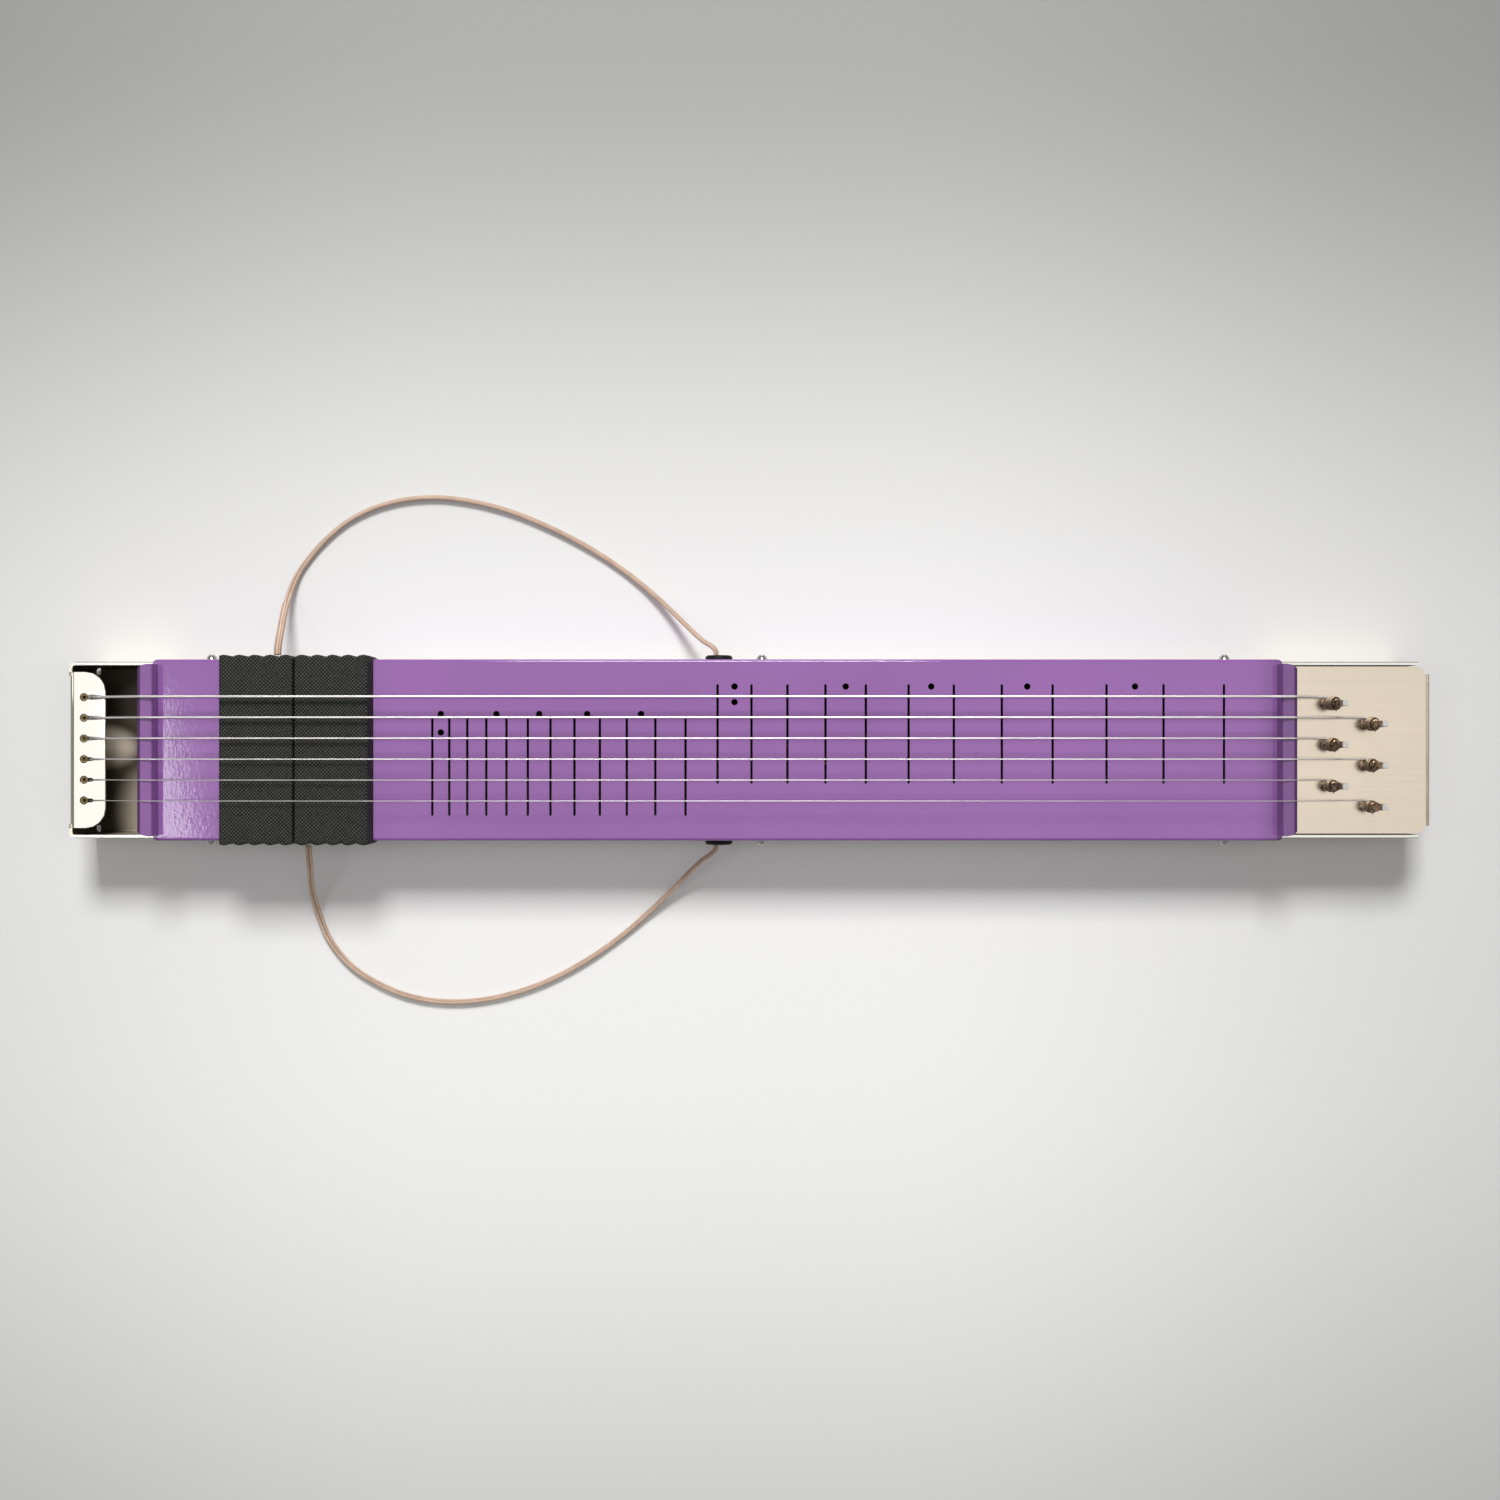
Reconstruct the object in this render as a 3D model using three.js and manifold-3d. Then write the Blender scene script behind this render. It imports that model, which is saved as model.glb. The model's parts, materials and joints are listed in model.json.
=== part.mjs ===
// Electric lap steel guitar with a folded sheet-metal body, two sliding pickups and six tuning pins.
// Millimetres. +X points to the tuning pins, +Y to the bass string, +Z up, and the base lies on z = 0.

import * as THREE from 'three';
import { mergeVertices } from 'three/addons/utils/BufferGeometryUtils.js';
import Module from 'manifold-3d';

const wasm = await Module();
wasm.setup();

// Scale: the strings swing between the bridge crown and the nut crown
const scaleLength = 571.5;
const tailLength = 39.6; // tail end to the bridge crown
const headLength = 72.1; // nut crown to the head end
const stringGauges = [1.32, 1.07, 0.86, 0.66, 0.51, 0.43]; // bass string first
const stringPitch = 10.36;
const stringsAside = 0.6; // middle of the strings from the middle of the body

// Fits
const fit = 0.3; // gap between pieces that touch
const overrun = 2; // how far a cutter runs past what it cuts

// Tray, one folded sheet
const trayWidth = 88.4;
const trayHeight = 36.7;
const traySheet = 1.6;
const trayBend = 1.8; // radius of a bend along the middle of the sheet
const tailNotch = 3.3; // side wall held back from the tail end
const headNotch = 6.6; // side wall held back from the head end
const tailWallInset = 5.1; // tail wall and its tab narrower than the tray on each side
const headWallInset = 6.2;
const tabLength = 18.1;
const tabCorner = 9.8;
const headplateInset = 2.3;
const headplateReach = 86.6; // head end to the edge that lies under the deck
const headplateCorner = 4.2;

// Keyholes in the tail tab
const keyholeRadius = 2.1;
const keyholeInset = 7.5; // tail end to the round part
const keyholeSlot = 4.8; // round part to the end of the slot
const keyholeSlotWidth = 2;

// Deck cover, one folded sheet over the tray
const coverSheet = 1;
const coverBend = 1; // radius along the middle of the sheet
const coverSkirt = 28; // how far the sides hang below the deck
const coverEndCorner = 2.5;
const deckShoulder = 2.2; // deck beyond the foot of a ridge
const crownHeight = 9.5; // crown above the deck
const ridgeDepth = 5; // crown to the middle of the riser
const ridgeLip = 1.8; // crown to the free edge
const ridgeRise = 0.5; // slope of the ridge up to its crown
const ridgeDrop = 0.7; // slope of the lip down from the crown
const ridgeInset = 1.4; // ridges narrower than the tray on each side
const ridgeCorner = 5;

// Fret slots and marker dots cut through the deck
const fretSlotWidth = 1.2;
const fretSlotLength = 50;
const fretSlotAside = 8.05; // first octave lies this far to the bass side, the second to the other
const octaveSteps = 12;
const octaveCount = 2;
const markerSteps = [3, 5, 7, 9, 12]; // frets of each octave that carry a dot, the last one a pair
const dotRadius = 1.65;
const lowDotAside = 31.8;
const highDotAside = 18;
const lowPairGap = 7.8;
const highPairGap = 9.2;

// Screws that hold the cover to the tray
const screwInset = 27.8; // crowns to the outer screws
const screwMiddleShare = 0.539; // place of the middle screws along the scale
const screwHeight = 22;
const screwRadius = 1.5;
const screwHeadRadius = 2.9;
const screwHeadHeight = 1.9;
const screwRecess = 0.9; // depth and width of the cross in the head
const screwRecessShare = 0.6; // reach of the cross over the head
const screwLength = 8;
const collarRadius = 3;
const collarDepth = 3;

// Pickup housings, which straddle the deck
const pickupSeam = 74.9; // bridge crown to the seam between the two housings
const seamGap = 0.6;
const housingLength = 38.2;
const housingHeight = 7; // above the deck
const housingCheek = 12; // below the deck
const housingWall = 0.6; // cheek at the bottom of a flute
const housingRoof = 1.2;
const housingEndWall = 1.8;
const fluteCount = 5;
const fluteDepth = 1.1;
const housingDraft = 1.4; // slope of the outer end over the deck
const cavityInset = 4.4; // cavity narrower than the housing on each side

// Coil parts inside each housing
const magnetInset = 12; // end of the cavity to the magnet
const magnetWidth = 3.2;
const magnetHeight = 3.6;
const bobbinWall = 1.2;
const bobbinFlange = 0.6;
const bobbinRim = 0.5; // flange beyond the winding
const windingDepth = 7;

// Leads, grommets and inner wires
const leadDiameter = 2.8;
const leadGap = 0.5; // end of a lead to what it enters
const leadExits = [8.3, -15]; // middle of each housing to its lead
const leadEntry = -1.5; // middle of a grommet to its lead
const sleeveDiameter = 3.8;
const sleeveShare = 0.11; // part of the upper lead's length that the sleeve covers
const grommetShare = 0.5008; // place of the grommets along the scale
const grommetHeight = 24;
const grommetHole = 4.7;
const grommetFlange = 7;
const grommetProud = 2.5;
const grommetBevel = 0.9;
const grommetBore = 1.6;
const grommetInnerFlange = 6;
const grommetInnerDepth = 2;
const wireDiameter = 2.2;
const wirePitch = 2.7; // between the two wires at the socket
const cordSquareRun = 0.8; // the very end of a cord, which stands square to what it meets

// Output socket in the side wall, with its nut sunk in the cover
const jackShare = 0.7034; // place of the socket along the scale
const jackHeight = 19.5;
const jackBore = 3.3;
const jackSleeve = 4.7;
const jackShoulder = 7;
const jackShoulderDepth = 1.2;
const jackNutRadius = 7.2;
const jackNutDepth = 1.1;
const jackWasherDepth = 0.6;
const jackNutClearance = 0.7;
const waferDepth = 6;
const waferWidth = 9;
const waferHeight = 3;
const contactSheet = 0.6;
const contactWidth = 5;
const contactReach = 20;
const contactStraightShare = 0.6; // part of the reach before the spring bends
const contactTipShare = 0.85; // part of the reach at its lowest point
const contactRise = 3.2; // how far the spring bends towards the plug

// Tuning pins in two staggered rows, leaning to the head end
const pinRadius = 2.4;
const pinProud = 20;
const pinDepth = 25;
const pinLean = THREE.MathUtils.degToRad(12);
const nearPinPlace = 18.9; // nut crown to the near row, at the headplate
const farPinPlace = 38.5; // nut crown to the far row
const pinNose = 1;
const pinSquareLength = 7.5;
const pinSquareFoot = 2.45; // half diagonal
const pinSquareTip = 2;
const pinHoleRadius = 0.8;
const coilTurns = 3;
const coilGap = 0.5; // clear gap between two turns of string
const coilFoot = 5.2; // lowest turn above the headplate

// Ball ends, which sit in the round part of the keyholes
const ballRadius = 1.8;
const ballLength = 3.4;
const ballWaist = 1.3;
const ballSunk = 0.2; // top of the ball below the tab

// Hardwood block that holds the pins under the headplate
const blockLength = 44;
const blockSideGap = 3.6; // block to the side walls
const blockStart = 6.5; // nut crown to the block
const blockScrewRadius = 2;
const blockScrewHead = 3.6;
const blockScrewHeadDepth = 1.1;
const blockScrewHeadLand = 0.1; // straight rim of the head
const blockScrewLength = 15;
const blockScrewInset = 5.5;
const blockScrewSunk = 0.2;

// Facets
const roundSides = 18;
const smallSides = 12;
const stringSides = 6;
const cornerSteps = 4;
const slotSteps = 3;
const bendSteps = 4;
const fluteSteps = 4;
const coilStepsPerTurn = 24;
const coilSides = 6;
const leadSides = 8;
const leadSteps = 36;
const sleeveSteps = 8;
const wireSides = 6;
const wireSteps = 16;
const squareSides = 4;
const hexSides = 6;

// Routes of the cords, points chosen by hand along the middle of each and stretched to the real ends later
const upperLeadRoute = [
  [-238.2, 48, 32], [-238.2, 50.2, 31.8], [-238.2, 54, 30.2], [-238.2, 58, 27.6], [-238.4, 62.6, 23.9],
  [-238.9, 68.6, 18], [-239.2, 75.3, 11], [-238.5, 82.5, 5.5], [-235.8, 90.6, 2.6], [-230.3, 99.2, 1.8],
  [-221.9, 108.9, 1.8],
  [-211, 118.3, 1.8], [-198, 125.3, 1.8], [-182.3, 130, 1.8], [-163.1, 131.6, 1.8], [-143.3, 129.2, 1.8],
  [-124, 124, 1.8], [-104.2, 115.9, 1.8], [-83.4, 105.1, 1.8], [-65.1, 93, 1.8], [-52, 82.5, 3],
  [-40.4, 71.8, 7], [-30.9, 62.3, 13], [-24.2, 56, 18.8], [-19.2, 52.6, 22.8], [-17.4, 50.4, 23.9],
  [-17.3, 48.5, 24],
];
const lowerLeadRoute = [
  [-222.7, -48, 32], [-222.7, -50.2, 31.8], [-222.8, -54, 30.2], [-223, -58, 27.6], [-223.5, -62.6, 23.9],
  [-224.7, -68.6, 18], [-225.5, -74.8, 11], [-225, -81.5, 5.5], [-223.1, -89.3, 2.6],
  [-219.8, -97.4, 1.8], [-214.1, -105.8, 1.8],
  [-205.8, -114.1, 1.8], [-194.8, -121.1, 1.8], [-179.7, -127.6, 1.8], [-161.5, -131, 1.8],
  [-141.7, -130.5, 1.8], [-122.9, -126.6, 1.8], [-104.2, -119.8, 1.8], [-84.4, -109.1, 1.8],
  [-66.7, -96.6, 1.8], [-52, -83.8, 3], [-40.4, -72.5, 7], [-30.9, -62.7, 13], [-24.2, -56.2, 18.8],
  [-19.2, -52.6, 22.8], [-17.4, -50.4, 23.9], [-17.3, -48.5, 24],
];
const upperWireRoute = [
  [-15.8, 40, 24], [-15.8, 37.5, 23.9], [-15.6, 33, 22], [-13, 27, 14], [-7, 19, 6], [4, 10, 3], [22, 0, 3],
  [44, -10, 3], [62, -20, 3], [76, -29, 5], [84, -33.4, 11], [89, -35.4, 19], [92.2, -35.8, 24.4],
  [95.2, -35.8, 24.6],
];
const lowerWireRoute = [
  [-15.8, -40, 24], [-15.8, -37.5, 23.9], [-15.4, -34.5, 22], [-12, -33, 13], [-4, -33, 5], [10, -34, 3],
  [34, -35, 3], [58, -36, 3], [74, -37, 5], [82, -38, 11], [88, -38.4, 19], [92.2, -38.5, 24.4],
  [95.2, -38.5, 24.6],
];

// Places that follow from the sizes
const bodyLength = tailLength + scaleLength + headLength;
const tailEnd = -bodyLength / 2;
const headEnd = bodyLength / 2;
const bridgeCrown = tailEnd + tailLength;
const nutCrown = bridgeCrown + scaleLength;
const wallOutside = trayWidth / 2;
const wallInside = wallOutside - traySheet;
const deckUnder = trayHeight + fit;
const deckTop = deckUnder + coverSheet;
const skirtInside = wallOutside + fit;
const skirtOutside = skirtInside + coverSheet;
const crownTop = deckTop + crownHeight;
const tailWallWidth = trayWidth - 2 * tailWallInset;
const headWallWidth = trayWidth - 2 * headWallInset;
const headplateWidth = trayWidth - 2 * headplateInset;
const ridgeWidth = trayWidth - 2 * ridgeInset;
const blockWidth = 2 * (wallInside - blockSideGap);
const alongScale = (share) => bridgeCrown + share * scaleLength;
const screwPlaces = [bridgeCrown + screwInset, alongScale(screwMiddleShare), nutCrown - screwInset];
const grommetPlace = alongScale(grommetShare);
const jackPlace = alongScale(jackShare);
const pickupPlaces = [-1, 1].map((way) => bridgeCrown + pickupSeam + way * (seamGap + housingLength) / 2);
const quarter = Math.PI / 2;
const stringCount = stringGauges.length;
const stringPlaces = stringGauges.map(
  (gauge, i) => stringsAside + ((stringCount - 1) / 2 - i) * stringPitch
);

// Finishes
const finish = (color, roughness, metalness) =>
  new THREE.MeshStandardMaterial({ color, roughness, metalness, flatShading: true });
const nickelSheet = finish(0xd6cdbb, 0.25, 1);
const purpleCoat = finish(0x9d6ab0, 0.4, 0.1);
const blackTexture = finish(0x2d2e2c, 0.8, 0);
const blackRubber = finish(0x141414, 0.7, 0);
const copperBraid = finish(0xc8a087, 0.6, 0.3);
const steelString = finish(0xd8d8d4, 0.3, 1);
const bronzeCoil = finish(0x8a6a4a, 0.4, 1);
const brass = finish(0xc2963c, 0.35, 1);
const chromeSteel = finish(0xe0e0e2, 0.15, 1);
const copperWire = finish(0x9a4f2c, 0.4, 1);
const magnetSteel = finish(0x55565a, 0.5, 1);
const maple = finish(0xcfae7c, 0.6, 0);
const phenolic = finish(0x5d3a22, 0.7, 0);

const model = new THREE.Group();

// Turns a closed three.js geometry into a solid
function solidOf(geometry) {
  const bare = geometry.clone();
  bare.deleteAttribute('normal');
  bare.deleteAttribute('uv');
  const merged = mergeVertices(bare);
  const corners = merged.index.array;
  const faces = [];
  for (let i = 0; i < corners.length; i += 3) {
    const [a, b, c] = [corners[i], corners[i + 1], corners[i + 2]];
    if (a !== b && b !== c && c !== a) {
      faces.push(a, b, c);
    }
  }
  return new wasm.Manifold(new wasm.Mesh({
    numProp: 3,
    vertProperties: merged.attributes.position.array,
    triVerts: new Uint32Array(faces),
  }));
}

function geometryOf(solid) {
  const mesh = solid.getMesh();
  const geometry = new THREE.BufferGeometry();
  geometry.setAttribute('position', new THREE.BufferAttribute(mesh.vertProperties, 3));
  geometry.setIndex(new THREE.BufferAttribute(mesh.triVerts, 1));
  geometry.computeVertexNormals();
  return geometry;
}

// Names a piece, gives it its finish and hangs it in the model or in a group
function place(name, solid, material, parent = model) {
  const mesh = new THREE.Mesh(geometryOf(solid), material);
  mesh.name = name;
  parent.add(mesh);
  return mesh;
}

const joined = (solids) => solids.reduce((whole, solid) => whole.add(solid));
const cut = (solid, cutters) => cutters.reduce((rest, cutter) => rest.subtract(cutter), solid);
const point = (x, y) => new THREE.Vector2(x, y);
const shift = (x, y, z) => new THREE.Matrix4().makeTranslation(x, y, z);

// Outlines
function arc(x, y, radius, from, to, steps) {
  return Array.from({ length: steps + 1 }, (unused, k) => {
    const angle = from + (to - from) * k / steps;
    return point(x + radius * Math.cos(angle), y + radius * Math.sin(angle));
  });
}

function disc(radius, x = 0, y = 0, sides = roundSides) {
  return new THREE.Shape(arc(x, y, radius, 0, 4 * quarter, sides).slice(1));
}

function roundedBox(left, right, low, high, radius) {
  return new THREE.Shape([
    ...arc(right - radius, high - radius, radius, 0, quarter, cornerSteps),
    ...arc(left + radius, high - radius, radius, quarter, 2 * quarter, cornerSteps),
    ...arc(left + radius, low + radius, radius, 2 * quarter, 3 * quarter, cornerSteps),
    ...arc(right - radius, low + radius, radius, 3 * quarter, 4 * quarter, cornerSteps),
  ]);
}

const box = (left, right, low, high) =>
  new THREE.Shape([point(left, low), point(right, low), point(right, high), point(left, high)]);

// A strip of sheet seen from its edge: straight runs joined by bends of one radius
function bentStrip(corners, radius, thickness) {
  const stations = [];
  const leftOf = (direction) => point(-direction.y, direction.x);
  corners.forEach((corner, i) => {
    const back = i > 0 ? corners[i - 1].clone().sub(corner).normalize() : null;
    const ahead = i < corners.length - 1 ? corners[i + 1].clone().sub(corner).normalize() : null;
    if (!back || !ahead) {
      stations.push({ at: corner, left: leftOf(ahead ?? back.clone().negate()) });
      return;
    }
    const turn = Math.PI - back.angleTo(ahead);
    const way = -Math.sign(back.cross(ahead));
    const inward = back.clone().add(ahead).normalize();
    const middle = corner.clone().addScaledVector(inward, radius / Math.cos(turn / 2));
    const first = corner.clone().addScaledVector(back, radius * Math.tan(turn / 2));
    for (let k = 0; k <= bendSteps; k++) {
      const at = first.clone().rotateAround(middle, way * turn * k / bendSteps);
      stations.push({ at, left: middle.clone().sub(at).normalize().multiplyScalar(way) });
    }
  });
  const side = (offset) => stations.map(({ at, left }) => at.clone().addScaledVector(left, offset));
  return new THREE.Shape([...side(thickness / 2), ...side(-thickness / 2).reverse()]);
}

// Solids drawn from an outline
const alongX = new THREE.Matrix4().makeBasis(
  new THREE.Vector3(0, 1, 0), new THREE.Vector3(0, 0, 1), new THREE.Vector3(1, 0, 0)
);
const alongY = new THREE.Matrix4().makeBasis(
  new THREE.Vector3(-1, 0, 0), new THREE.Vector3(0, 0, 1), new THREE.Vector3(0, 1, 0)
);

function extruded(outline, from, to, matrix = new THREE.Matrix4()) {
  const geometry = new THREE.ExtrudeGeometry(outline, { depth: to - from, bevelEnabled: false });
  geometry.translate(0, 0, from);
  geometry.applyMatrix4(matrix);
  return solidOf(geometry);
}

const raised = (outline, from, to) => extruded(outline, from, to);
const lengthwise = (outline, from, to) => extruded(outline, from, to, alongX);

// An outline in X and Z drawn across the body: the outline is turned over so that X keeps its sense
function crosswise(outline, from, to) {
  const turned = new THREE.Shape(outline.getPoints().map(({ x, y }) => point(-x, y)));
  return extruded(turned, from, to, alongY);
}

// A profile of radius and height turned about the Z axis
function revolved(profile, sides, matrix = new THREE.Matrix4()) {
  const geometry = new THREE.LatheGeometry(profile, sides);
  geometry.rotateX(quarter);
  geometry.applyMatrix4(matrix);
  return solidOf(geometry);
}

const drum = (radius, from, to, sides, matrix) =>
  revolved([point(0, from), point(radius, from), point(radius, to), point(0, to)], sides, matrix);

// Stands a piece made along Z on a side wall: side 1 looks to the bass side, side -1 to the other
function onSide(side, x, y, z) {
  return new THREE.Matrix4().makeTranslation(x, y, z)
    .multiply(new THREE.Matrix4().makeRotationX(-side * quarter));
}

// A path of given stations, for tubes whose bends lie where the stations are
class StationPath extends THREE.Curve {
  constructor(stations) {
    super();
    this.stations = stations;
  }

  station(share) {
    return Math.round(share * (this.stations.length - 1));
  }

  getPointAt(share) {
    return this.stations[this.station(share)].clone();
  }

  getTangentAt(share) {
    const k = this.station(share);
    const here = this.stations[k];
    const tangent = new THREE.Vector3();
    if (k > 0) {
      tangent.add(here.clone().sub(this.stations[k - 1]).normalize());
    }
    if (k < this.stations.length - 1) {
      tangent.add(this.stations[k + 1].clone().sub(here).normalize());
    }
    return tangent.normalize();
  }
}

function tube(stations, diameter, sides) {
  const section = disc(diameter / 2, 0, 0, sides);
  const path = new StationPath(stations);
  return solidOf(new THREE.ExtrudeGeometry(section, {
    steps: stations.length - 1, extrudePath: path, bevelEnabled: false,
  }));
}

// Stations along part of a cord's route: even ones, and one close to each end so that the ends stand square
function along(curve, from, to, steps) {
  const square = cordSquareRun / curve.getLength();
  const even = Array.from({ length: steps - 1 }, (unused, k) => (
    THREE.MathUtils.lerp(from, to, (k + 1) / steps)
  ));
  return [from, from + square, ...even, to - square, to].map((share) => curve.getPointAt(share));
}

// The smooth line through a route, stretched level so that it runs from one place to another
function stretched(route, from, to) {
  const [first, last] = [route[0], route[route.length - 1]];
  return new THREE.CatmullRomCurve3(route.map(([x, y, z]) => new THREE.Vector3(
    THREE.MathUtils.mapLinear(x, first[0], last[0], from.x, to.x),
    THREE.MathUtils.mapLinear(y, first[1], last[1], from.y, to.y),
    z
  )));
}

// Tuning pins: where each one stands on the headplate, and how it leans
const coilRadius = (gauge) => pinRadius + fit + gauge / 2;
const pinFrames = stringGauges.map((gauge, i) => {
  const x = nutCrown + (i % 2 === 0 ? nearPinPlace : farPinPlace);
  return shift(x, stringPlaces[i] - coilRadius(gauge), trayHeight)
    .multiply(new THREE.Matrix4().makeRotationY(pinLean));
});
const pinHoles = pinFrames.map((frame) =>
  drum(pinRadius + fit, -pinDepth - overrun, traySheet + overrun, smallSides, frame));

// Screws through cover and tray
const sides = [1, -1];
const sideScrews = sides.flatMap((side) => screwPlaces.map((x) => ({ side, x })));
const sideHole = (side, x, z, radius, count) => drum(
  radius, -collarDepth - traySheet - overrun, coverSheet + overrun, count, onSide(side, x, side * wallOutside, z)
);

// Block screws, one near each corner of the pin block
const blockNear = nutCrown + blockStart;
const blockFar = blockNear + blockLength;
const blockScrewPlaces = sides.flatMap((side) => [
  [blockNear + blockScrewInset, side * (blockWidth / 2 - blockScrewInset)],
  [blockFar - blockScrewInset, side * (blockWidth / 2 - blockScrewInset)],
]);
const countersunk = (extra, low, tip) => [
  point(0, low),
  point(blockScrewHead + extra, low),
  point(blockScrewHead + extra, blockScrewSunk + blockScrewHeadLand),
  point(blockScrewRadius + extra, blockScrewSunk + blockScrewHeadDepth),
  point(blockScrewRadius + extra, tip),
  point(0, tip),
];

// Tray: floor, two side walls, tail wall with its tab and head wall with the headplate
function makeTray() {
  const half = traySheet / 2;
  const sideSection = bentStrip([
    point(-wallOutside + half, trayHeight), point(-wallOutside + half, half),
    point(wallOutside - half, half), point(wallOutside - half, trayHeight),
  ], trayBend, traySheet);
  const channel = lengthwise(sideSection, tailEnd + tailNotch, headEnd - headNotch);
  const endSection = (end, inward) => bentStrip([
    point(end + inward * headplateReach, half),
    point(end + inward * half, half),
    point(end + inward * half, trayHeight - half),
    point(end + inward * (trayBend + traySheet + overrun), trayHeight - half),
  ], trayBend, traySheet);
  const tailWall = crosswise(endSection(tailEnd, 1), -tailWallWidth / 2, tailWallWidth / 2);
  const headWall = crosswise(endSection(headEnd, -1), -headWallWidth / 2, headWallWidth / 2);
  const tailCorners = sides.map((side) => raised(bentStrip([
    point(tailEnd + tailNotch + overrun, side * (wallOutside - half)),
    point(tailEnd + half, side * (wallOutside - half)),
    point(tailEnd + half, side * (tailWallWidth / 2 - overrun)),
  ], tailNotch - half, traySheet), trayBend + half, trayHeight));

  const tabStart = tailEnd + trayBend + traySheet;
  const tab = raised(new THREE.Shape([
    point(tabStart, -tailWallWidth / 2),
    ...arc(tailEnd + tabLength - tabCorner, tabCorner - tailWallWidth / 2, tabCorner, -quarter, 0, cornerSteps),
    ...arc(tailEnd + tabLength - tabCorner, tailWallWidth / 2 - tabCorner, tabCorner, 0, quarter, cornerSteps),
    point(tabStart, tailWallWidth / 2),
  ]), trayHeight - traySheet, trayHeight);
  const headStart = headEnd - trayBend - traySheet;
  const headCorner = headplateWidth / 2 - headplateCorner;
  const headplate = raised(new THREE.Shape([
    point(headEnd - headplateReach, -headplateWidth / 2),
    ...arc(headStart - headplateCorner, -headCorner, headplateCorner, -quarter, 0, cornerSteps),
    ...arc(headStart - headplateCorner, headCorner, headplateCorner, 0, quarter, cornerSteps),
    point(headEnd - headplateReach, headplateWidth / 2),
  ]), trayHeight - traySheet, trayHeight);
  const collars = sideScrews.map(({ side, x }) => drum(
    collarRadius, -collarDepth - traySheet, -half, smallSides, onSide(side, x, side * wallOutside, screwHeight)
  ));

  const keyholes = stringPlaces.flatMap((y) => {
    const x = tailEnd + keyholeInset;
    const slotEnd = x + keyholeSlot - keyholeSlotWidth / 2;
    return [
      raised(disc(keyholeRadius, x, y, smallSides), trayHeight - traySheet - overrun, trayHeight + overrun),
      raised(new THREE.Shape([
        point(x, y - keyholeSlotWidth / 2),
        ...arc(slotEnd, y, keyholeSlotWidth / 2, -quarter, quarter, slotSteps),
        point(x, y + keyholeSlotWidth / 2),
      ]), trayHeight - traySheet - overrun, trayHeight + overrun),
    ];
  });
  const screwHoles = sideScrews.map(({ side, x }) =>
    sideHole(side, x, screwHeight, screwRadius + fit, smallSides));
  const grommetHoles = sides.map((side) =>
    sideHole(side, grommetPlace, grommetHeight, grommetHole, roundSides));
  const jackHole = sideHole(-1, jackPlace, jackHeight, jackSleeve + fit, roundSides);
  const blockHoles = blockScrewPlaces.map(([x, y]) =>
    revolved(countersunk(fit, -overrun, traySheet + overrun), smallSides, shift(x, y, 0)));

  return cut(
    joined([channel, tailWall, headWall, ...tailCorners, tab, headplate, ...collars]),
    [...keyholes, ...screwHoles, ...grommetHoles, jackHole, ...blockHoles, ...pinHoles]
  );
}

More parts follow.
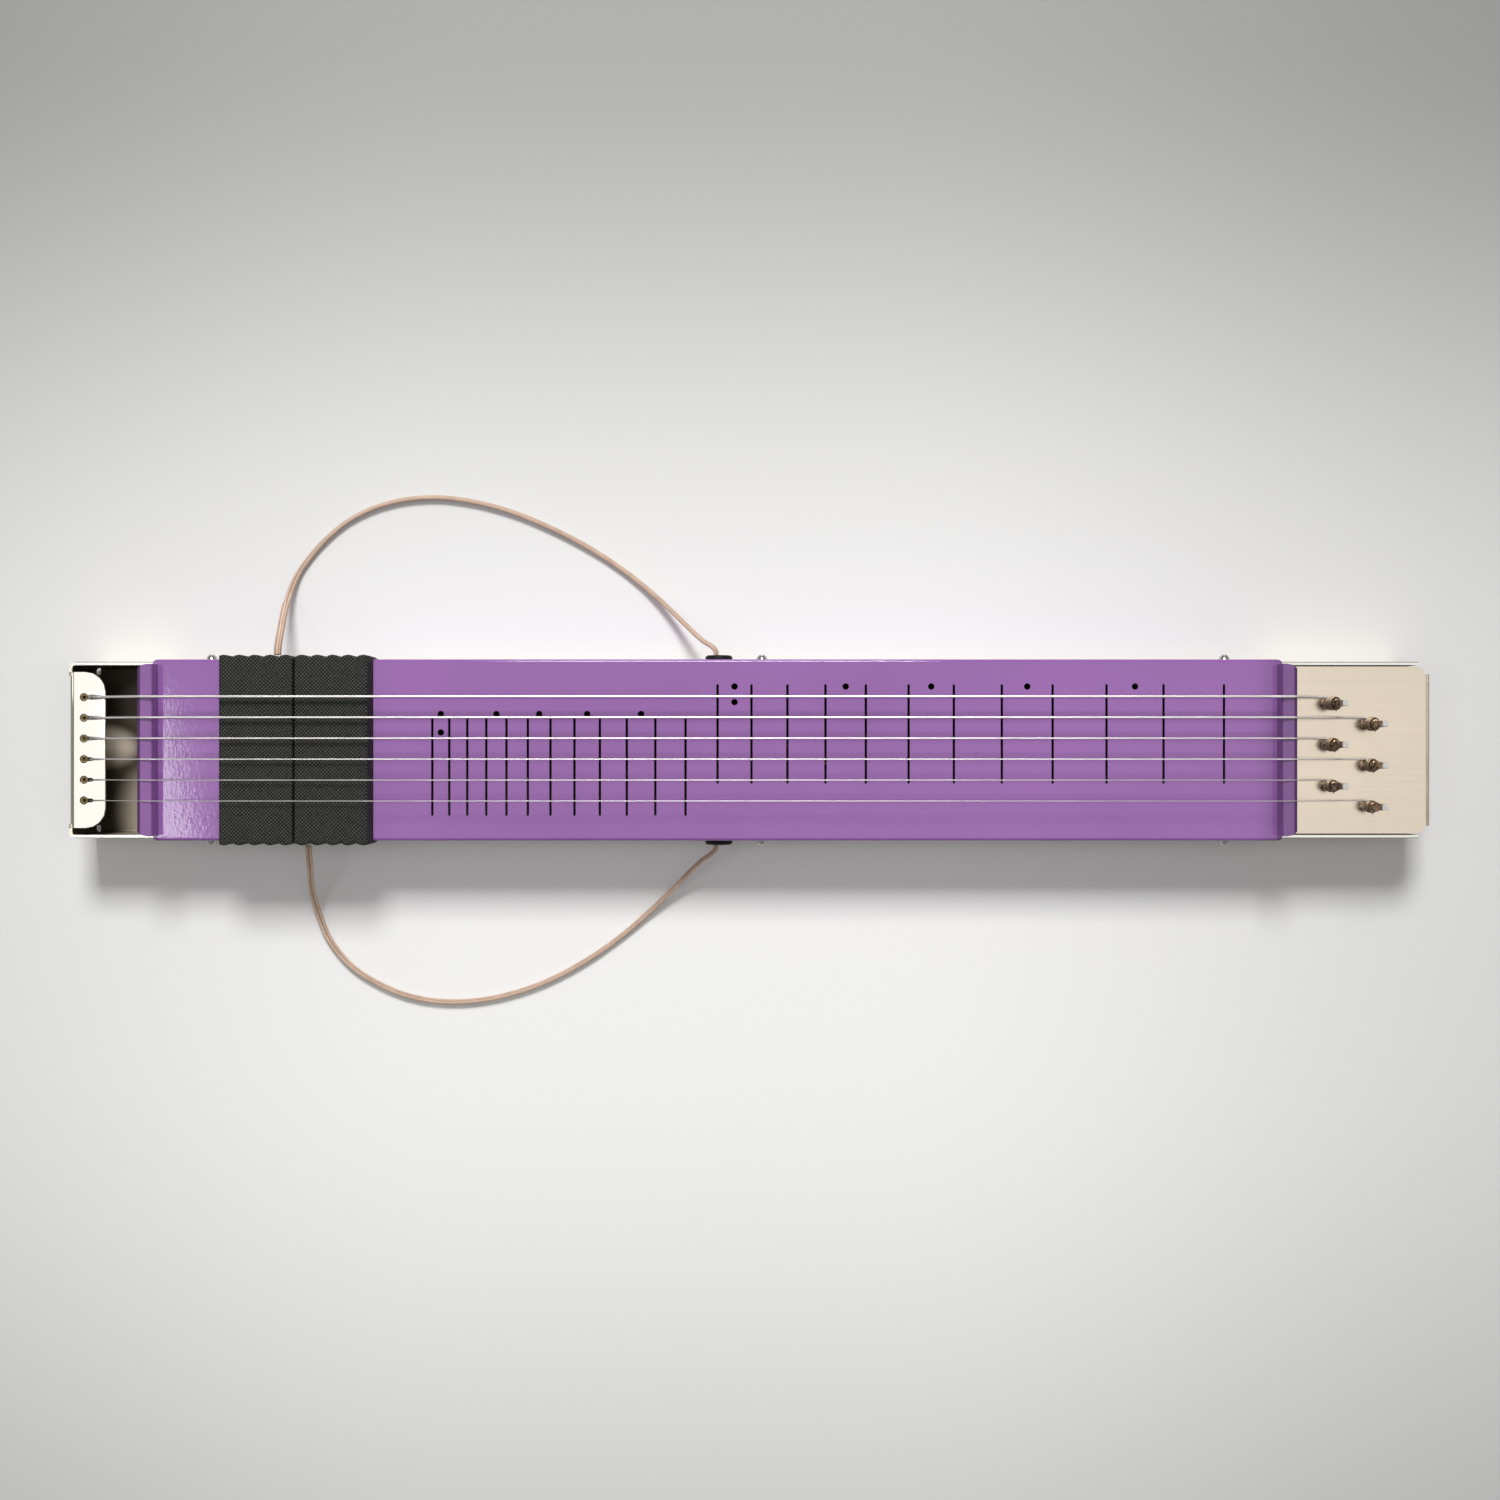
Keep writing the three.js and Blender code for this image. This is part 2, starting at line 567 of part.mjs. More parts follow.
// Cover: deck with two side skirts, and a ridge at each end whose crown carries the strings
function makeCover() {
  const half = coverSheet / 2;
  const middle = deckUnder + half;
  const skirtLow = deckTop - coverSkirt;
  const channelSection = bentStrip([
    point(-skirtOutside + half, skirtLow), point(-skirtOutside + half, middle),
    point(skirtOutside - half, middle), point(skirtOutside - half, skirtLow),
  ], coverBend, coverSheet);
  const tailShoulder = bridgeCrown + ridgeDepth - deckShoulder;
  const headShoulder = nutCrown - ridgeDepth + deckShoulder;
  const channel = lengthwise(channelSection, tailShoulder, headShoulder).intersect(raised(
    roundedBox(tailShoulder, headShoulder, -skirtOutside, skirtOutside, coverEndCorner),
    skirtLow - overrun, deckTop + overrun
  ));

  const crownLine = crownTop - half;
  const ridges = bentStrip([
    point(bridgeCrown - ridgeLip, crownLine - ridgeDrop),
    point(bridgeCrown, crownLine),
    point(bridgeCrown + ridgeDepth, crownLine - ridgeRise),
    point(bridgeCrown + ridgeDepth, middle),
    point(nutCrown - ridgeDepth, middle),
    point(nutCrown - ridgeDepth, crownLine - ridgeRise),
    point(nutCrown, crownLine),
    point(nutCrown + ridgeLip, crownLine - ridgeDrop),
  ], coverBend, coverSheet);
  const ridgeStrip = crosswise(ridges, -ridgeWidth / 2, ridgeWidth / 2).intersect(raised(
    roundedBox(
      bridgeCrown - ridgeLip - overrun, nutCrown + ridgeLip + overrun,
      -ridgeWidth / 2, ridgeWidth / 2, ridgeCorner + overrun
    ),
    deckUnder - overrun, crownTop + overrun
  ));

  const through = (outline) => raised(outline, deckUnder - overrun, deckTop + overrun);
  const fretPlace = (n) => bridgeCrown + scaleLength / 2 ** (n / octaveSteps);
  const frets = Array.from({ length: octaveCount * octaveSteps }, (unused, k) => {
    const y = k < octaveSteps ? fretSlotAside : -fretSlotAside;
    const x = fretPlace(k + 1);
    const reach = fretSlotLength / 2 - fretSlotWidth / 2;
    return through(new THREE.Shape([
      ...arc(x, y + reach, fretSlotWidth / 2, 0, 2 * quarter, slotSteps),
      ...arc(x, y - reach, fretSlotWidth / 2, 2 * quarter, 4 * quarter, slotSteps),
    ]));
  });
  const markers = [
    { frets: markerSteps, y: lowDotAside, pairGap: lowPairGap },
    { frets: markerSteps.map((n) => n + octaveSteps), y: highDotAside, pairGap: highPairGap },
  ];
  const dots = markers.flatMap(({ frets: marked, y, pairGap }) => {
    const places = marked.map((n) => [(fretPlace(n) + fretPlace(n - 1)) / 2, y]);
    const [lastX, lastY] = places[places.length - 1];
    return [...places, [lastX, lastY - pairGap]].map(([x, row]) => (
      through(disc(dotRadius, x, row, smallSides))
    ));
  });
  const screwHoles = sideScrews.map(({ side, x }) =>
    sideHole(side, x, screwHeight, screwRadius + fit, smallSides));
  const grommetHoles = sides.map((side) =>
    sideHole(side, grommetPlace, grommetHeight, grommetHole, roundSides));
  const jackWindow = sideHole(-1, jackPlace, jackHeight, jackNutRadius + jackNutClearance, roundSides);
  return cut(channel.add(ridgeStrip), [...frets, ...dots, ...screwHoles, ...grommetHoles, jackWindow]);
}

// Pan head screw with a cross recess, its head to +Z on the cover
function makeSideScrew() {
  const dome = arc(0, 0, 1, 0, quarter, slotSteps).map(({ x, y }) =>
    point(screwHeadRadius * x, fit + screwHeadHeight * y));
  const body = revolved([
    point(0, -screwLength), point(screwRadius, -screwLength), point(screwRadius, fit), ...dome,
  ], smallSides);
  const top = fit + screwHeadHeight;
  const reach = screwRecessShare * screwHeadRadius;
  const blade = (turn) => extruded(
    box(-reach, reach, -screwRecess / 2, screwRecess / 2),
    top - screwRecess, top + overrun, new THREE.Matrix4().makeRotationZ(turn)
  );
  return cut(body, [blade(0), blade(quarter)]);
}

// Grommet with its groove over the sheets, its outer flange to +Z, zero at the tray wall's outer face
function makeGrommet() {
  const flangeFoot = fit + coverSheet + fit;
  const top = flangeFoot + grommetProud - fit;
  const neck = grommetHole - fit;
  const innerTop = -traySheet - fit;
  const innerEnd = innerTop - grommetInnerDepth;
  return revolved([
    point(grommetBore, innerEnd),
    point(grommetInnerFlange - grommetBevel, innerEnd),
    point(grommetInnerFlange, innerEnd + grommetBevel),
    point(grommetInnerFlange, innerTop),
    point(neck, innerTop),
    point(neck, flangeFoot),
    point(grommetFlange, flangeFoot),
    point(grommetFlange, top - grommetBevel),
    point(grommetFlange - grommetBevel, top),
    point(grommetBore, top),
    point(grommetBore, innerEnd),
  ], roundSides);
}

// Pickup housing over its own middle, with the fluted cheeks; the outer end faces the given way along X
const housingOutside = skirtOutside + fit + housingWall;
const cavityWidth = 2 * (housingOutside - cavityInset);
const magnetLength = cavityWidth - 2 * magnetInset;
const housingTop = deckTop + housingHeight;
const housingLow = deckTop - housingCheek;

function fluted(side) {
  const pitch = housingLength / fluteCount;
  const radius = ((pitch / 2) ** 2 + fluteDepth ** 2) / (2 * fluteDepth);
  const spread = Math.asin(pitch / 2 / radius);
  return Array.from({ length: fluteCount }, (unused, k) => {
    const x = side * (housingLength / 2 - pitch / 2 - k * pitch);
    const y = side * (housingOutside + fluteDepth - radius);
    return arc(x, y, radius, side * quarter - spread, side * quarter + spread, fluteSteps);
  }).flat();
}

function makeHousing(outerEnd) {
  const outline = new THREE.Shape([...fluted(1), ...fluted(-1)]);
  const block = raised(outline, housingLow, housingTop);
  const half = housingLength / 2;
  const slope = crosswise(new THREE.Shape([
    point(-outerEnd * (half + overrun), housingLow - overrun),
    point(outerEnd * half, housingLow - overrun),
    point(outerEnd * half, deckTop),
    point(outerEnd * (half - housingDraft), housingTop),
    point(outerEnd * (half - housingDraft), housingTop + overrun),
    point(-outerEnd * (half + overrun), housingTop + overrun),
  ]), -housingOutside - overrun, housingOutside + overrun);
  const channel = lengthwise(
    box(-skirtOutside - fit, skirtOutside + fit, housingLow - overrun, deckTop + fit),
    -half - overrun, half + overrun
  );
  const inner = half - housingEndWall - housingDraft;
  const cavity = raised(
    roundedBox(-inner, inner, -cavityWidth / 2, cavityWidth / 2, housingEndWall),
    deckTop - overrun, housingTop - housingRoof
  );
  return cut(block.intersect(slope), [channel, cavity]);
}

// Coil parts under the housing's roof, all as tracks with round ends
const coilTop = housingTop - housingRoof - fit;
const bobbinHeight = coilTop - deckTop - 2 * fit;
const track = (length, width) => roundedBox(-width / 2, width / 2, -length / 2, length / 2, width / 2);
const coreWidth = magnetWidth + 2 * (fit + bobbinWall);
const coreLength = magnetLength + 2 * (fit + bobbinWall);
const windingWidth = coreWidth + 2 * (fit + windingDepth);
const windingLength = coreLength + 2 * (fit + windingDepth);

function makeBobbin() {
  const low = coilTop - bobbinHeight;
  const flange = track(windingLength + 2 * bobbinRim, windingWidth + 2 * bobbinRim);
  const core = raised(track(coreLength, coreWidth), low, coilTop);
  const pocket = raised(
    box(-magnetWidth / 2 - fit, magnetWidth / 2 + fit, -magnetLength / 2 - fit, magnetLength / 2 + fit),
    low - overrun, low + magnetHeight + fit
  );
  return joined([
    core,
    raised(flange, low, low + bobbinFlange),
    raised(flange, coilTop - bobbinFlange, coilTop),
  ]).subtract(pocket);
}

function makeWinding() {
  const low = coilTop - bobbinHeight + bobbinFlange + fit;
  const high = coilTop - bobbinFlange - fit;
  return raised(track(windingLength, windingWidth), low, high).subtract(
    raised(track(coreLength + 2 * fit, coreWidth + 2 * fit), low - overrun, high + overrun)
  );
}

function makeMagnet() {
  const low = coilTop - bobbinHeight;
  return raised(
    box(-magnetWidth / 2, magnetWidth / 2, -magnetLength / 2, magnetLength / 2),
    low, low + magnetHeight
  );
}

// Strings: from the ball end up over the end of the slot, over both crowns and down to the winding
const keyholePlace = tailEnd + keyholeInset;
const ballHeight = trayHeight - ballSunk - ballLength / 2;

function overCrown(crown, gauge, from, to) {
  const radius = coverBend + coverSheet / 2 + fit + gauge / 2;
  const height = crownTop - coverBend - coverSheet / 2;
  return arc(crown, height, radius, from, to, bendSteps);
}

function makeString(i) {
  const gauge = stringGauges[i];
  const start = point(keyholePlace + ballRadius + fit + gauge / 2, ballHeight);
  const edge = point(keyholePlace + keyholeSlot - fit - gauge / 2, trayHeight + fit + gauge / 2);
  const climb = Math.atan2(crownTop - edge.y, bridgeCrown - edge.x);
  const wound = new THREE.Vector3(0, coilRadius(gauge), coilFoot).applyMatrix4(pinFrames[i]);
  const swept = coilRadius(gauge) + gauge + fit;
  const standOff = Math.sqrt(swept ** 2 - coilRadius(gauge) ** 2) / Math.cos(pinLean);
  const fall = Math.atan2(crownTop - wound.z, wound.x - nutCrown);
  const stop = point(wound.x - standOff, wound.z + standOff * Math.tan(fall));
  const profile = [
    start,
    edge,
    ...overCrown(bridgeCrown, gauge, quarter + climb, quarter),
    ...overCrown(nutCrown, gauge, quarter, quarter - fall),
    stop,
  ];
  return tube(profile.map((at) => new THREE.Vector3(at.x, stringPlaces[i], at.y)), gauge, stringSides);
}

function makeBallEnd() {
  const half = ballLength / 2;
  return revolved([
    point(0, -half), point(ballWaist, -half), point(ballRadius, ballRadius - ballWaist - half),
    point(ballWaist, 0),
    point(ballRadius, half - ballRadius + ballWaist), point(ballWaist, half), point(0, half),
  ], smallSides);
}

// Tuning pin on its own axis, zero at the headplate, with a square tapered end
function makePin(gauge) {
  const shoulder = pinProud - pinSquareLength;
  const body = revolved([
    point(0, -pinDepth), point(pinRadius - pinNose, -pinDepth), point(pinRadius, -pinDepth + pinNose),
    point(pinRadius, shoulder - pinNose), point(pinRadius - pinNose, shoulder + pinNose),
    point(0, shoulder + pinNose),
  ], smallSides);
  const square = new THREE.CylinderGeometry(pinSquareTip, pinSquareFoot, pinSquareLength, squareSides);
  square.rotateY(quarter / 2);
  square.rotateX(quarter);
  square.translate(0, 0, pinProud - pinSquareLength / 2);
  const eye = coilFoot + coilTurns * (gauge + coilGap);
  const hole = drum(pinHoleRadius, -pinRadius - overrun, pinRadius + overrun, smallSides,
    shift(0, 0, eye).multiply(new THREE.Matrix4().makeRotationX(quarter)));
  return body.add(solidOf(square)).subtract(hole);
}

// String wound round its pin: one tube that climbs clockwise from where the string arrives
function coilStations(gauge) {
  const radius = coilRadius(gauge);
  const count = coilTurns * coilStepsPerTurn;
  return Array.from({ length: count + 1 }, (unused, k) => {
    const turned = k / coilStepsPerTurn;
    const angle = quarter - 4 * quarter * turned;
    return new THREE.Vector3(
      radius * Math.cos(angle), radius * Math.sin(angle), coilFoot + turned * (gauge + coilGap)
    );
  });
}

function leastGap(stations, gauge) {
  let least = Infinity;
  for (let a = 0; a < stations.length; a++) {
    for (let b = a + coilStepsPerTurn / 2; b < stations.length; b++) {
      least = Math.min(least, stations[a].distanceTo(stations[b]) - gauge);
    }
  }
  return least;
}

// Hardwood block, bored for the pins and for its screws
function makePinBlock() {
  const low = traySheet + fit;
  const block = raised(
    box(blockNear, blockFar, -blockWidth / 2, blockWidth / 2), low, trayHeight - traySheet - fit
  );
  const screwHoles = blockScrewPlaces.map(([x, y]) =>
    drum(blockScrewRadius + fit, 0, blockScrewLength + fit, smallSides, shift(x, y, 0)));
  return cut(block, [...pinHoles, ...screwHoles]);
}

// Countersunk screw that comes up through the floor, its head a little below the base
const makeBlockScrew = () => revolved(countersunk(0, blockScrewSunk, blockScrewLength), smallSides);

// Output socket: threaded sleeve with its shoulder inside the wall, along +Z to the outside
const jackFrame = onSide(-1, jackPlace, -wallOutside, jackHeight);
const jackShoulderTop = -traySheet - fit - jackWasherDepth - fit;
const jackShoulderEnd = jackShoulderTop - jackShoulderDepth;

function makeJackSleeve() {
  const front = fit + jackNutDepth;
  return revolved([
    point(jackBore, jackShoulderEnd), point(jackShoulder, jackShoulderEnd),
    point(jackShoulder, jackShoulderTop), point(jackSleeve, jackShoulderTop), point(jackSleeve, front),
    point(jackBore, front),
    point(jackBore, jackShoulderEnd),
  ], roundSides, jackFrame);
}

function makeJackNut() {
  return extruded(disc(jackNutRadius, 0, 0, hexSides), fit, fit + jackNutDepth, jackFrame)
    .subtract(drum(jackSleeve + fit, -overrun, fit + jackNutDepth + overrun, roundSides, jackFrame));
}

function makeJackWasher() {
  const high = -traySheet - fit;
  return revolved([
    point(jackSleeve + fit, high - jackWasherDepth), point(jackShoulder, high - jackWasherDepth),
    point(jackShoulder, high), point(jackSleeve + fit, high), point(jackSleeve + fit, high - jackWasherDepth),
  ], roundSides, jackFrame);
}

// The insulating block lies against the shoulder, above the bore
const waferTop = jackShoulderEnd - fit;
const waferLow = jackBore + fit;

function makeJackWafer() {
  return extruded(
    box(-waferWidth / 2, waferWidth / 2, waferLow, waferLow + waferHeight),
    waferTop - waferDepth, waferTop, jackFrame
  );
}

// Spring contact from the block along the bore, bent towards the plug at its end
function makeJackContact() {
  const foot = waferLow + waferHeight / 2;
  const start = waferTop - waferDepth - fit;
  const bend = contactSheet;
  const strip = bentStrip([
    point(start, foot),
    point(start - contactStraightShare * contactReach, foot),
    point(start - contactTipShare * contactReach, foot - contactRise),
    point(start - contactReach, foot - contactRise / 2),
  ], bend, contactSheet);
  const turn = new THREE.Matrix4().makeBasis(
    new THREE.Vector3(0, 0, 1), new THREE.Vector3(0, 1, 0), new THREE.Vector3(-1, 0, 0)
  );
  return extruded(strip, -contactWidth / 2, contactWidth / 2, jackFrame.clone().multiply(turn));
}

// The whole instrument
place('tray', makeTray(), nickelSheet);
place('deck_cover', makeCover(), purpleCoat);

const sideNames = { 1: 'upper', '-1': 'lower' };
sideScrews.forEach(({ side, x }, i) => {
  const name = `${sideNames[side]}_cover_screw_${i % screwPlaces.length + 1}`;
  const screw = place(name, makeSideScrew(), chromeSteel);
  screw.position.set(x, side * skirtOutside, screwHeight);
  screw.rotation.x = -side * quarter;
});

sides.forEach((side) => {
  const grommet = place(`${sideNames[side]}_grommet`, makeGrommet(), blackRubber);
  grommet.position.set(grommetPlace, side * wallOutside, grommetHeight);
  grommet.rotation.x = -side * quarter;
});

pickupPlaces.forEach((x, i) => {
  const pickup = new THREE.Group();
  pickup.position.x = x;
  model.add(pickup);
  place(`pickup_housing_${i + 1}`, makeHousing(i === 0 ? -1 : 1), blackTexture, pickup);
  place(`pickup_bobbin_${i + 1}`, makeBobbin(), phenolic, pickup);
  place(`pickup_winding_${i + 1}`, makeWinding(), copperWire, pickup);
  place(`pickup_magnet_${i + 1}`, makeMagnet(), magnetSteel, pickup);
});

// Cords: each lead from its housing to its grommet, each inner wire from there to the socket's block
const leadFrom = housingOutside + fluteDepth + leadGap;
const leadTo = wallOutside + fit + coverSheet + grommetProud + leadGap;
const [upperLead, lowerLead] = [upperLeadRoute, lowerLeadRoute].map((route, i) => stretched(
  route,
  point(pickupPlaces[i] + leadExits[i], sides[i] * leadFrom),
  point(grommetPlace + leadEntry, sides[i] * leadTo)
));
const wireFrom = wallInside - fit - grommetInnerDepth - fit;
const wireTo = wallOutside + waferTop - waferDepth / 2;
const [upperWire, lowerWire] = [upperWireRoute, lowerWireRoute].map((route, i) => stretched(
  route,
  point(grommetPlace, sides[i] * wireFrom),
  point(jackPlace - waferWidth / 2 - fit, sides[i] * wirePitch / 2 - wireTo)
));
const leadStart = sleeveShare + fit / upperLead.getLength();
const sleeve = tube(along(upperLead, 0, sleeveShare, sleeveSteps), sleeveDiameter, leadSides);
place('upper_lead_sleeve', sleeve, copperBraid);
place('upper_lead', tube(along(upperLead, leadStart, 1, leadSteps), leadDiameter, leadSides), copperBraid);
place('lower_lead', tube(along(lowerLead, 0, 1, leadSteps), leadDiameter, leadSides), copperBraid);
place('upper_inner_wire', tube(along(upperWire, 0, 1, wireSteps), wireDiameter, wireSides), copperBraid);
place('lower_inner_wire', tube(along(lowerWire, 0, 1, wireSteps), wireDiameter, wireSides), copperBraid);
console.log(`lead lengths ${upperLead.getLength().toFixed(1)} and ${lowerLead.getLength().toFixed(1)} mm`);

stringGauges.forEach((gauge, i) => {
  place(`string_${i + 1}`, makeString(i), steelString);
  const ball = place(`ball_end_${i + 1}`, makeBallEnd(), brass);
  ball.position.set(keyholePlace, stringPlaces[i], ballHeight);

  const pin = new THREE.Group();
  pin.position.setFromMatrixPosition(pinFrames[i]);
  pin.rotation.y = pinLean;
  model.add(pin);
  place(`tuning_pin_${i + 1}`, makePin(gauge), chromeSteel, pin);
  const stations = coilStations(gauge);
  place(`string_coil_${i + 1}`, tube(stations, gauge, coilSides), bronzeCoil, pin);
  console.log(`string_coil_${i + 1} least gap to itself ${leastGap(stations, gauge).toFixed(3)} mm`);
});

place('pin_block', makePinBlock(), maple);
blockScrewPlaces.forEach(([x, y], i) => {
  const screw = place(`block_screw_${i + 1}`, makeBlockScrew(), chromeSteel);
  screw.position.set(x, y, 0);
});

place('jack_sleeve', makeJackSleeve(), chromeSteel);
place('jack_nut', makeJackNut(), chromeSteel);
place('jack_washer', makeJackWasher(), chromeSteel);
place('jack_wafer', makeJackWafer(), phenolic);
place('jack_contact', makeJackContact(), brass);

export default model;
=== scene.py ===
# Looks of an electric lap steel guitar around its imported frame, laid out as a Blender add-on.
# Metres, in the frame's own axes: +X to the tuning pins, +Y to the bass string, +Z up.

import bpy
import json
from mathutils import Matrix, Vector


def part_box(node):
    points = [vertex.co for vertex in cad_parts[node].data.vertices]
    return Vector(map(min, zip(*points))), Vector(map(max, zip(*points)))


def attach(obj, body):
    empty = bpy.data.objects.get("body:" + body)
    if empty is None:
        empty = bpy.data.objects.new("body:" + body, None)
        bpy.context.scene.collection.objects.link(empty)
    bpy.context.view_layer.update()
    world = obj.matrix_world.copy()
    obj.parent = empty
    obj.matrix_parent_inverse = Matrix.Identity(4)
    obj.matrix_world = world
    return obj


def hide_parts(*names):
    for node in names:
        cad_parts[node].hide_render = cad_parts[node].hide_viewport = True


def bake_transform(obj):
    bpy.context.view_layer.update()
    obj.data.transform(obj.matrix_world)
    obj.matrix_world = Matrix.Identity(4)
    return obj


bl_info = {
    "name": "Lap Steel Looks",
    "version": (1, 0, 0),
    "blender": (4, 5, 0),
    "location": "3D View > Sidebar > Lap Steel",
    "description": "Dresses the packed frame of a lap steel guitar and sets up its studio",
    "category": "Object",
}

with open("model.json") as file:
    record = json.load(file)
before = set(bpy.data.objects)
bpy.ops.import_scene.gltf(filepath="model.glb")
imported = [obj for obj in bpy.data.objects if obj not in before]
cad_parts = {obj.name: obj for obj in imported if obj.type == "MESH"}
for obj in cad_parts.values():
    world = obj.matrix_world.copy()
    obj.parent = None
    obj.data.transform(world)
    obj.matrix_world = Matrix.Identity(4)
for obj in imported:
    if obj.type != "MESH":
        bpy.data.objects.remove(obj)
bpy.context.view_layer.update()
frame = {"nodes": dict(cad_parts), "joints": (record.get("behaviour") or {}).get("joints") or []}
import json
import math

import bpy
from bpy.props import FloatProperty, FloatVectorProperty, IntProperty, PointerProperty
from mathutils import Matrix, Vector

MILLIMETRE = 0.001
ACROSS = Vector((0, 1, 0))
UP = Vector((0, 0, 1))
DOWN = Vector((0, 0, -1))
QUARTER_TURN = math.pi / 2
FULL_TURN = 2 * math.pi
JOIN_WITHIN = 0.002 * MILLIMETRE
CUT_WITHIN = 0.0005 * MILLIMETRE

# Crowns of the two ridges that carry the strings, and the frets between them
BRIDGE_CROWN = -0.302
NUT_CROWN = 0.2695
CROWN_TOP = 0.0475
CROWN_BEND = 0.0015
FRETS = range(1, 25)
OCTAVE = 12
DOTTED_FRETS = (0, 3, 5, 7, 9)

# Tops of the deck and the tray, and the tray's inside
DECK_TOP = 0.038
PLATE_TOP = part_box("tray")[1].z
INNER_TOP = PLATE_TOP - 0.0008
INNER_BASE = 0.0010
INNER_SIDE = 0.0430
INNER_END = 0.3405

# The walls' cut edge, and the tab with the keyholes, which is folded over at the tail
RIM_SIDE = 0.0425
RIM_WIDTH = 0.0012
FOLD_X = -0.3400
TAB_END = -0.3225
TAB_SIDE = 0.0390
KEYHOLE_X = -0.3341
KEYHOLE_REACH = 0.0048

# Widths over which one tone of a finish turns into the next
SHARP = 0.0002
SEAM = 0.0003
BLUR = 0.0004
CROWN_BLUR = 0.0008
TAB_BLUR = 0.0010

# Painted reflections, clouded, on the tray's floor at the tail: place, reach and, at the sides, strength
MAIN_GLEAM = ((-0.3350, 0.0015), (0.019, 0.013))
SIDE_GLEAMS = (
    ((-0.3160, -0.0300), (0.018, 0.024), 0.45),
    ((-0.3170, 0.0240), (0.016, 0.014), 0.25),
)

# Strings from the bass side, and the gap that a piece keeps to its seat
FIT = 0.0003
GAUGES = (0.00132, 0.00107, 0.00086, 0.00066, 0.00051, 0.00043)
STRINGS = range(1, len(GAUGES) + 1)
WOUND_STRINGS = 4
BALL_RADIUS = 0.0018
BEND_REACH = 0.0007
BEND_STEPS = 6
CROWN_STEPS = 6
TAIL_POINTS = BEND_STEPS + 2

# Distances before the winding, and how far the string has thinned to the winding there
TAPER = ((0.008, 0), (0.006, 0.1), (0.004, 0.5), (0.002, 0.9), (0, 1))

# The string's end, laid back round it in turns
TWIST_TURNS = 6
TWIST_TURN_STEPS = 10
TWIST_STRETCH = 0.0012
TWIST_STRETCHES = range(1, 6)

# Tuning pins, in their own heights above the headplate
PIN_RADIUS = 0.0024
PIN_LEAN = math.radians(12)
PIN_FOOT = -0.025
PIN_TIP = -0.024
PIN_TIP_RADIUS = 0.0014
THREAD_FOOT = -0.003
THREAD_TOP = 0.0044
THREAD_PITCH = 0.0007
THREAD_DEPTH = 0.00022
SHOULDER = 0.0112
SHOULDER_TOP = 0.0121
SHOULDER_RADIUS = 0.0021
NECK_TOP = 0.0130
NECK_RADIUS = 0.0017
HEAD_MIDDLE = 0.0161
HEAD_HEIGHT = 0.0078
HEAD_RADIUS = 0.00245
HEAD_TAPER = 0.82
HEAD_ROUNDING = 0.0003
EYE_RADIUS = 0.0008
DRILL_LENGTH = 0.008

# Height in the frame at which the pins' heads turn bright, and the blend above it
HEAD_SHINE = PLATE_TOP + 0.0184
SHINE_BLUR = 0.0006

# The string wound on a pin: the frame's three open turns set the eye's height, the looks' turns lie close
COIL_FOOT = 0.0052
COIL_TURNS = 3
COIL_GAP = 0.0005
WINDING_RADIUS = 0.00036
TURN_GAP = 0.00002
TURN_STEPS = 28
LEAVE_BEFORE = 0.0010
LEAVE_REACH = 0.0011
LEAVE_STEPS = 8
EYE_MOUTH_SHARE = 0.72
LOOSE_END = 0.0014

# Pickups: the frame's flutes, and the rings that round the housings' tops
PICKUPS = (1, 2)
FLUTE_DEPTH = 0.0011
CREST_RINGS = 4
LEVEL = 0.0001
FACES_UP = 0.99

# Rounding of the small pieces' edges
SCREW_EDGE = 0.00012
GROMMET_EDGE = 0.00035
BLOCK_SCREW_EDGE = 0.0001
SOCKET_EDGE = 0.00015

# Studio: the softboxes, the floor and the sky
CLIP_START = 0.02
FLOOR_SIZE = 9
SKY_TINT = (1.0, 0.985, 0.96)
MIDDLE = (0, 0, 0)
KEY_PLACE = (-0.1, 2.68, 2.97)
CEILING_PLACE = (0, 0, 1.9)
CEILING_SIZE = (2.6, 0.7)
PANEL_PLACE = (-0.818, -0.034, 1.6)
PANEL_SIZE = (0.07, 0.24)
PANEL_TURN = math.radians(13)
SIDE_PLACES = {"tail_side_light": (-2.4, 0.2, 1.5), "head_side_light": (2.4, 0.2, 1.5)}
SIDE_SIZE = (0.5, 0.5)

# Routes of the two leads, the same points as in the part's source
UPPER_LEAD_ROUTE = [
    (-238.2, 48, 32), (-238.2, 50.2, 31.8), (-238.2, 54, 30.2), (-238.2, 58, 27.6), (-238.4, 62.6, 23.9),
    (-238.9, 68.6, 18), (-239.2, 75.3, 11), (-238.5, 82.5, 5.5), (-235.8, 90.6, 2.6), (-230.3, 99.2, 1.8),
    (-221.9, 108.9, 1.8),
    (-211, 118.3, 1.8), (-198, 125.3, 1.8), (-182.3, 130, 1.8), (-163.1, 131.6, 1.8), (-143.3, 129.2, 1.8),
    (-124, 124, 1.8), (-104.2, 115.9, 1.8), (-83.4, 105.1, 1.8), (-65.1, 93, 1.8), (-52, 82.5, 3),
    (-40.4, 71.8, 7), (-30.9, 62.3, 13), (-24.2, 56, 18.8), (-19.2, 52.6, 22.8), (-17.4, 50.4, 23.9),
    (-17.3, 48.5, 24),
]
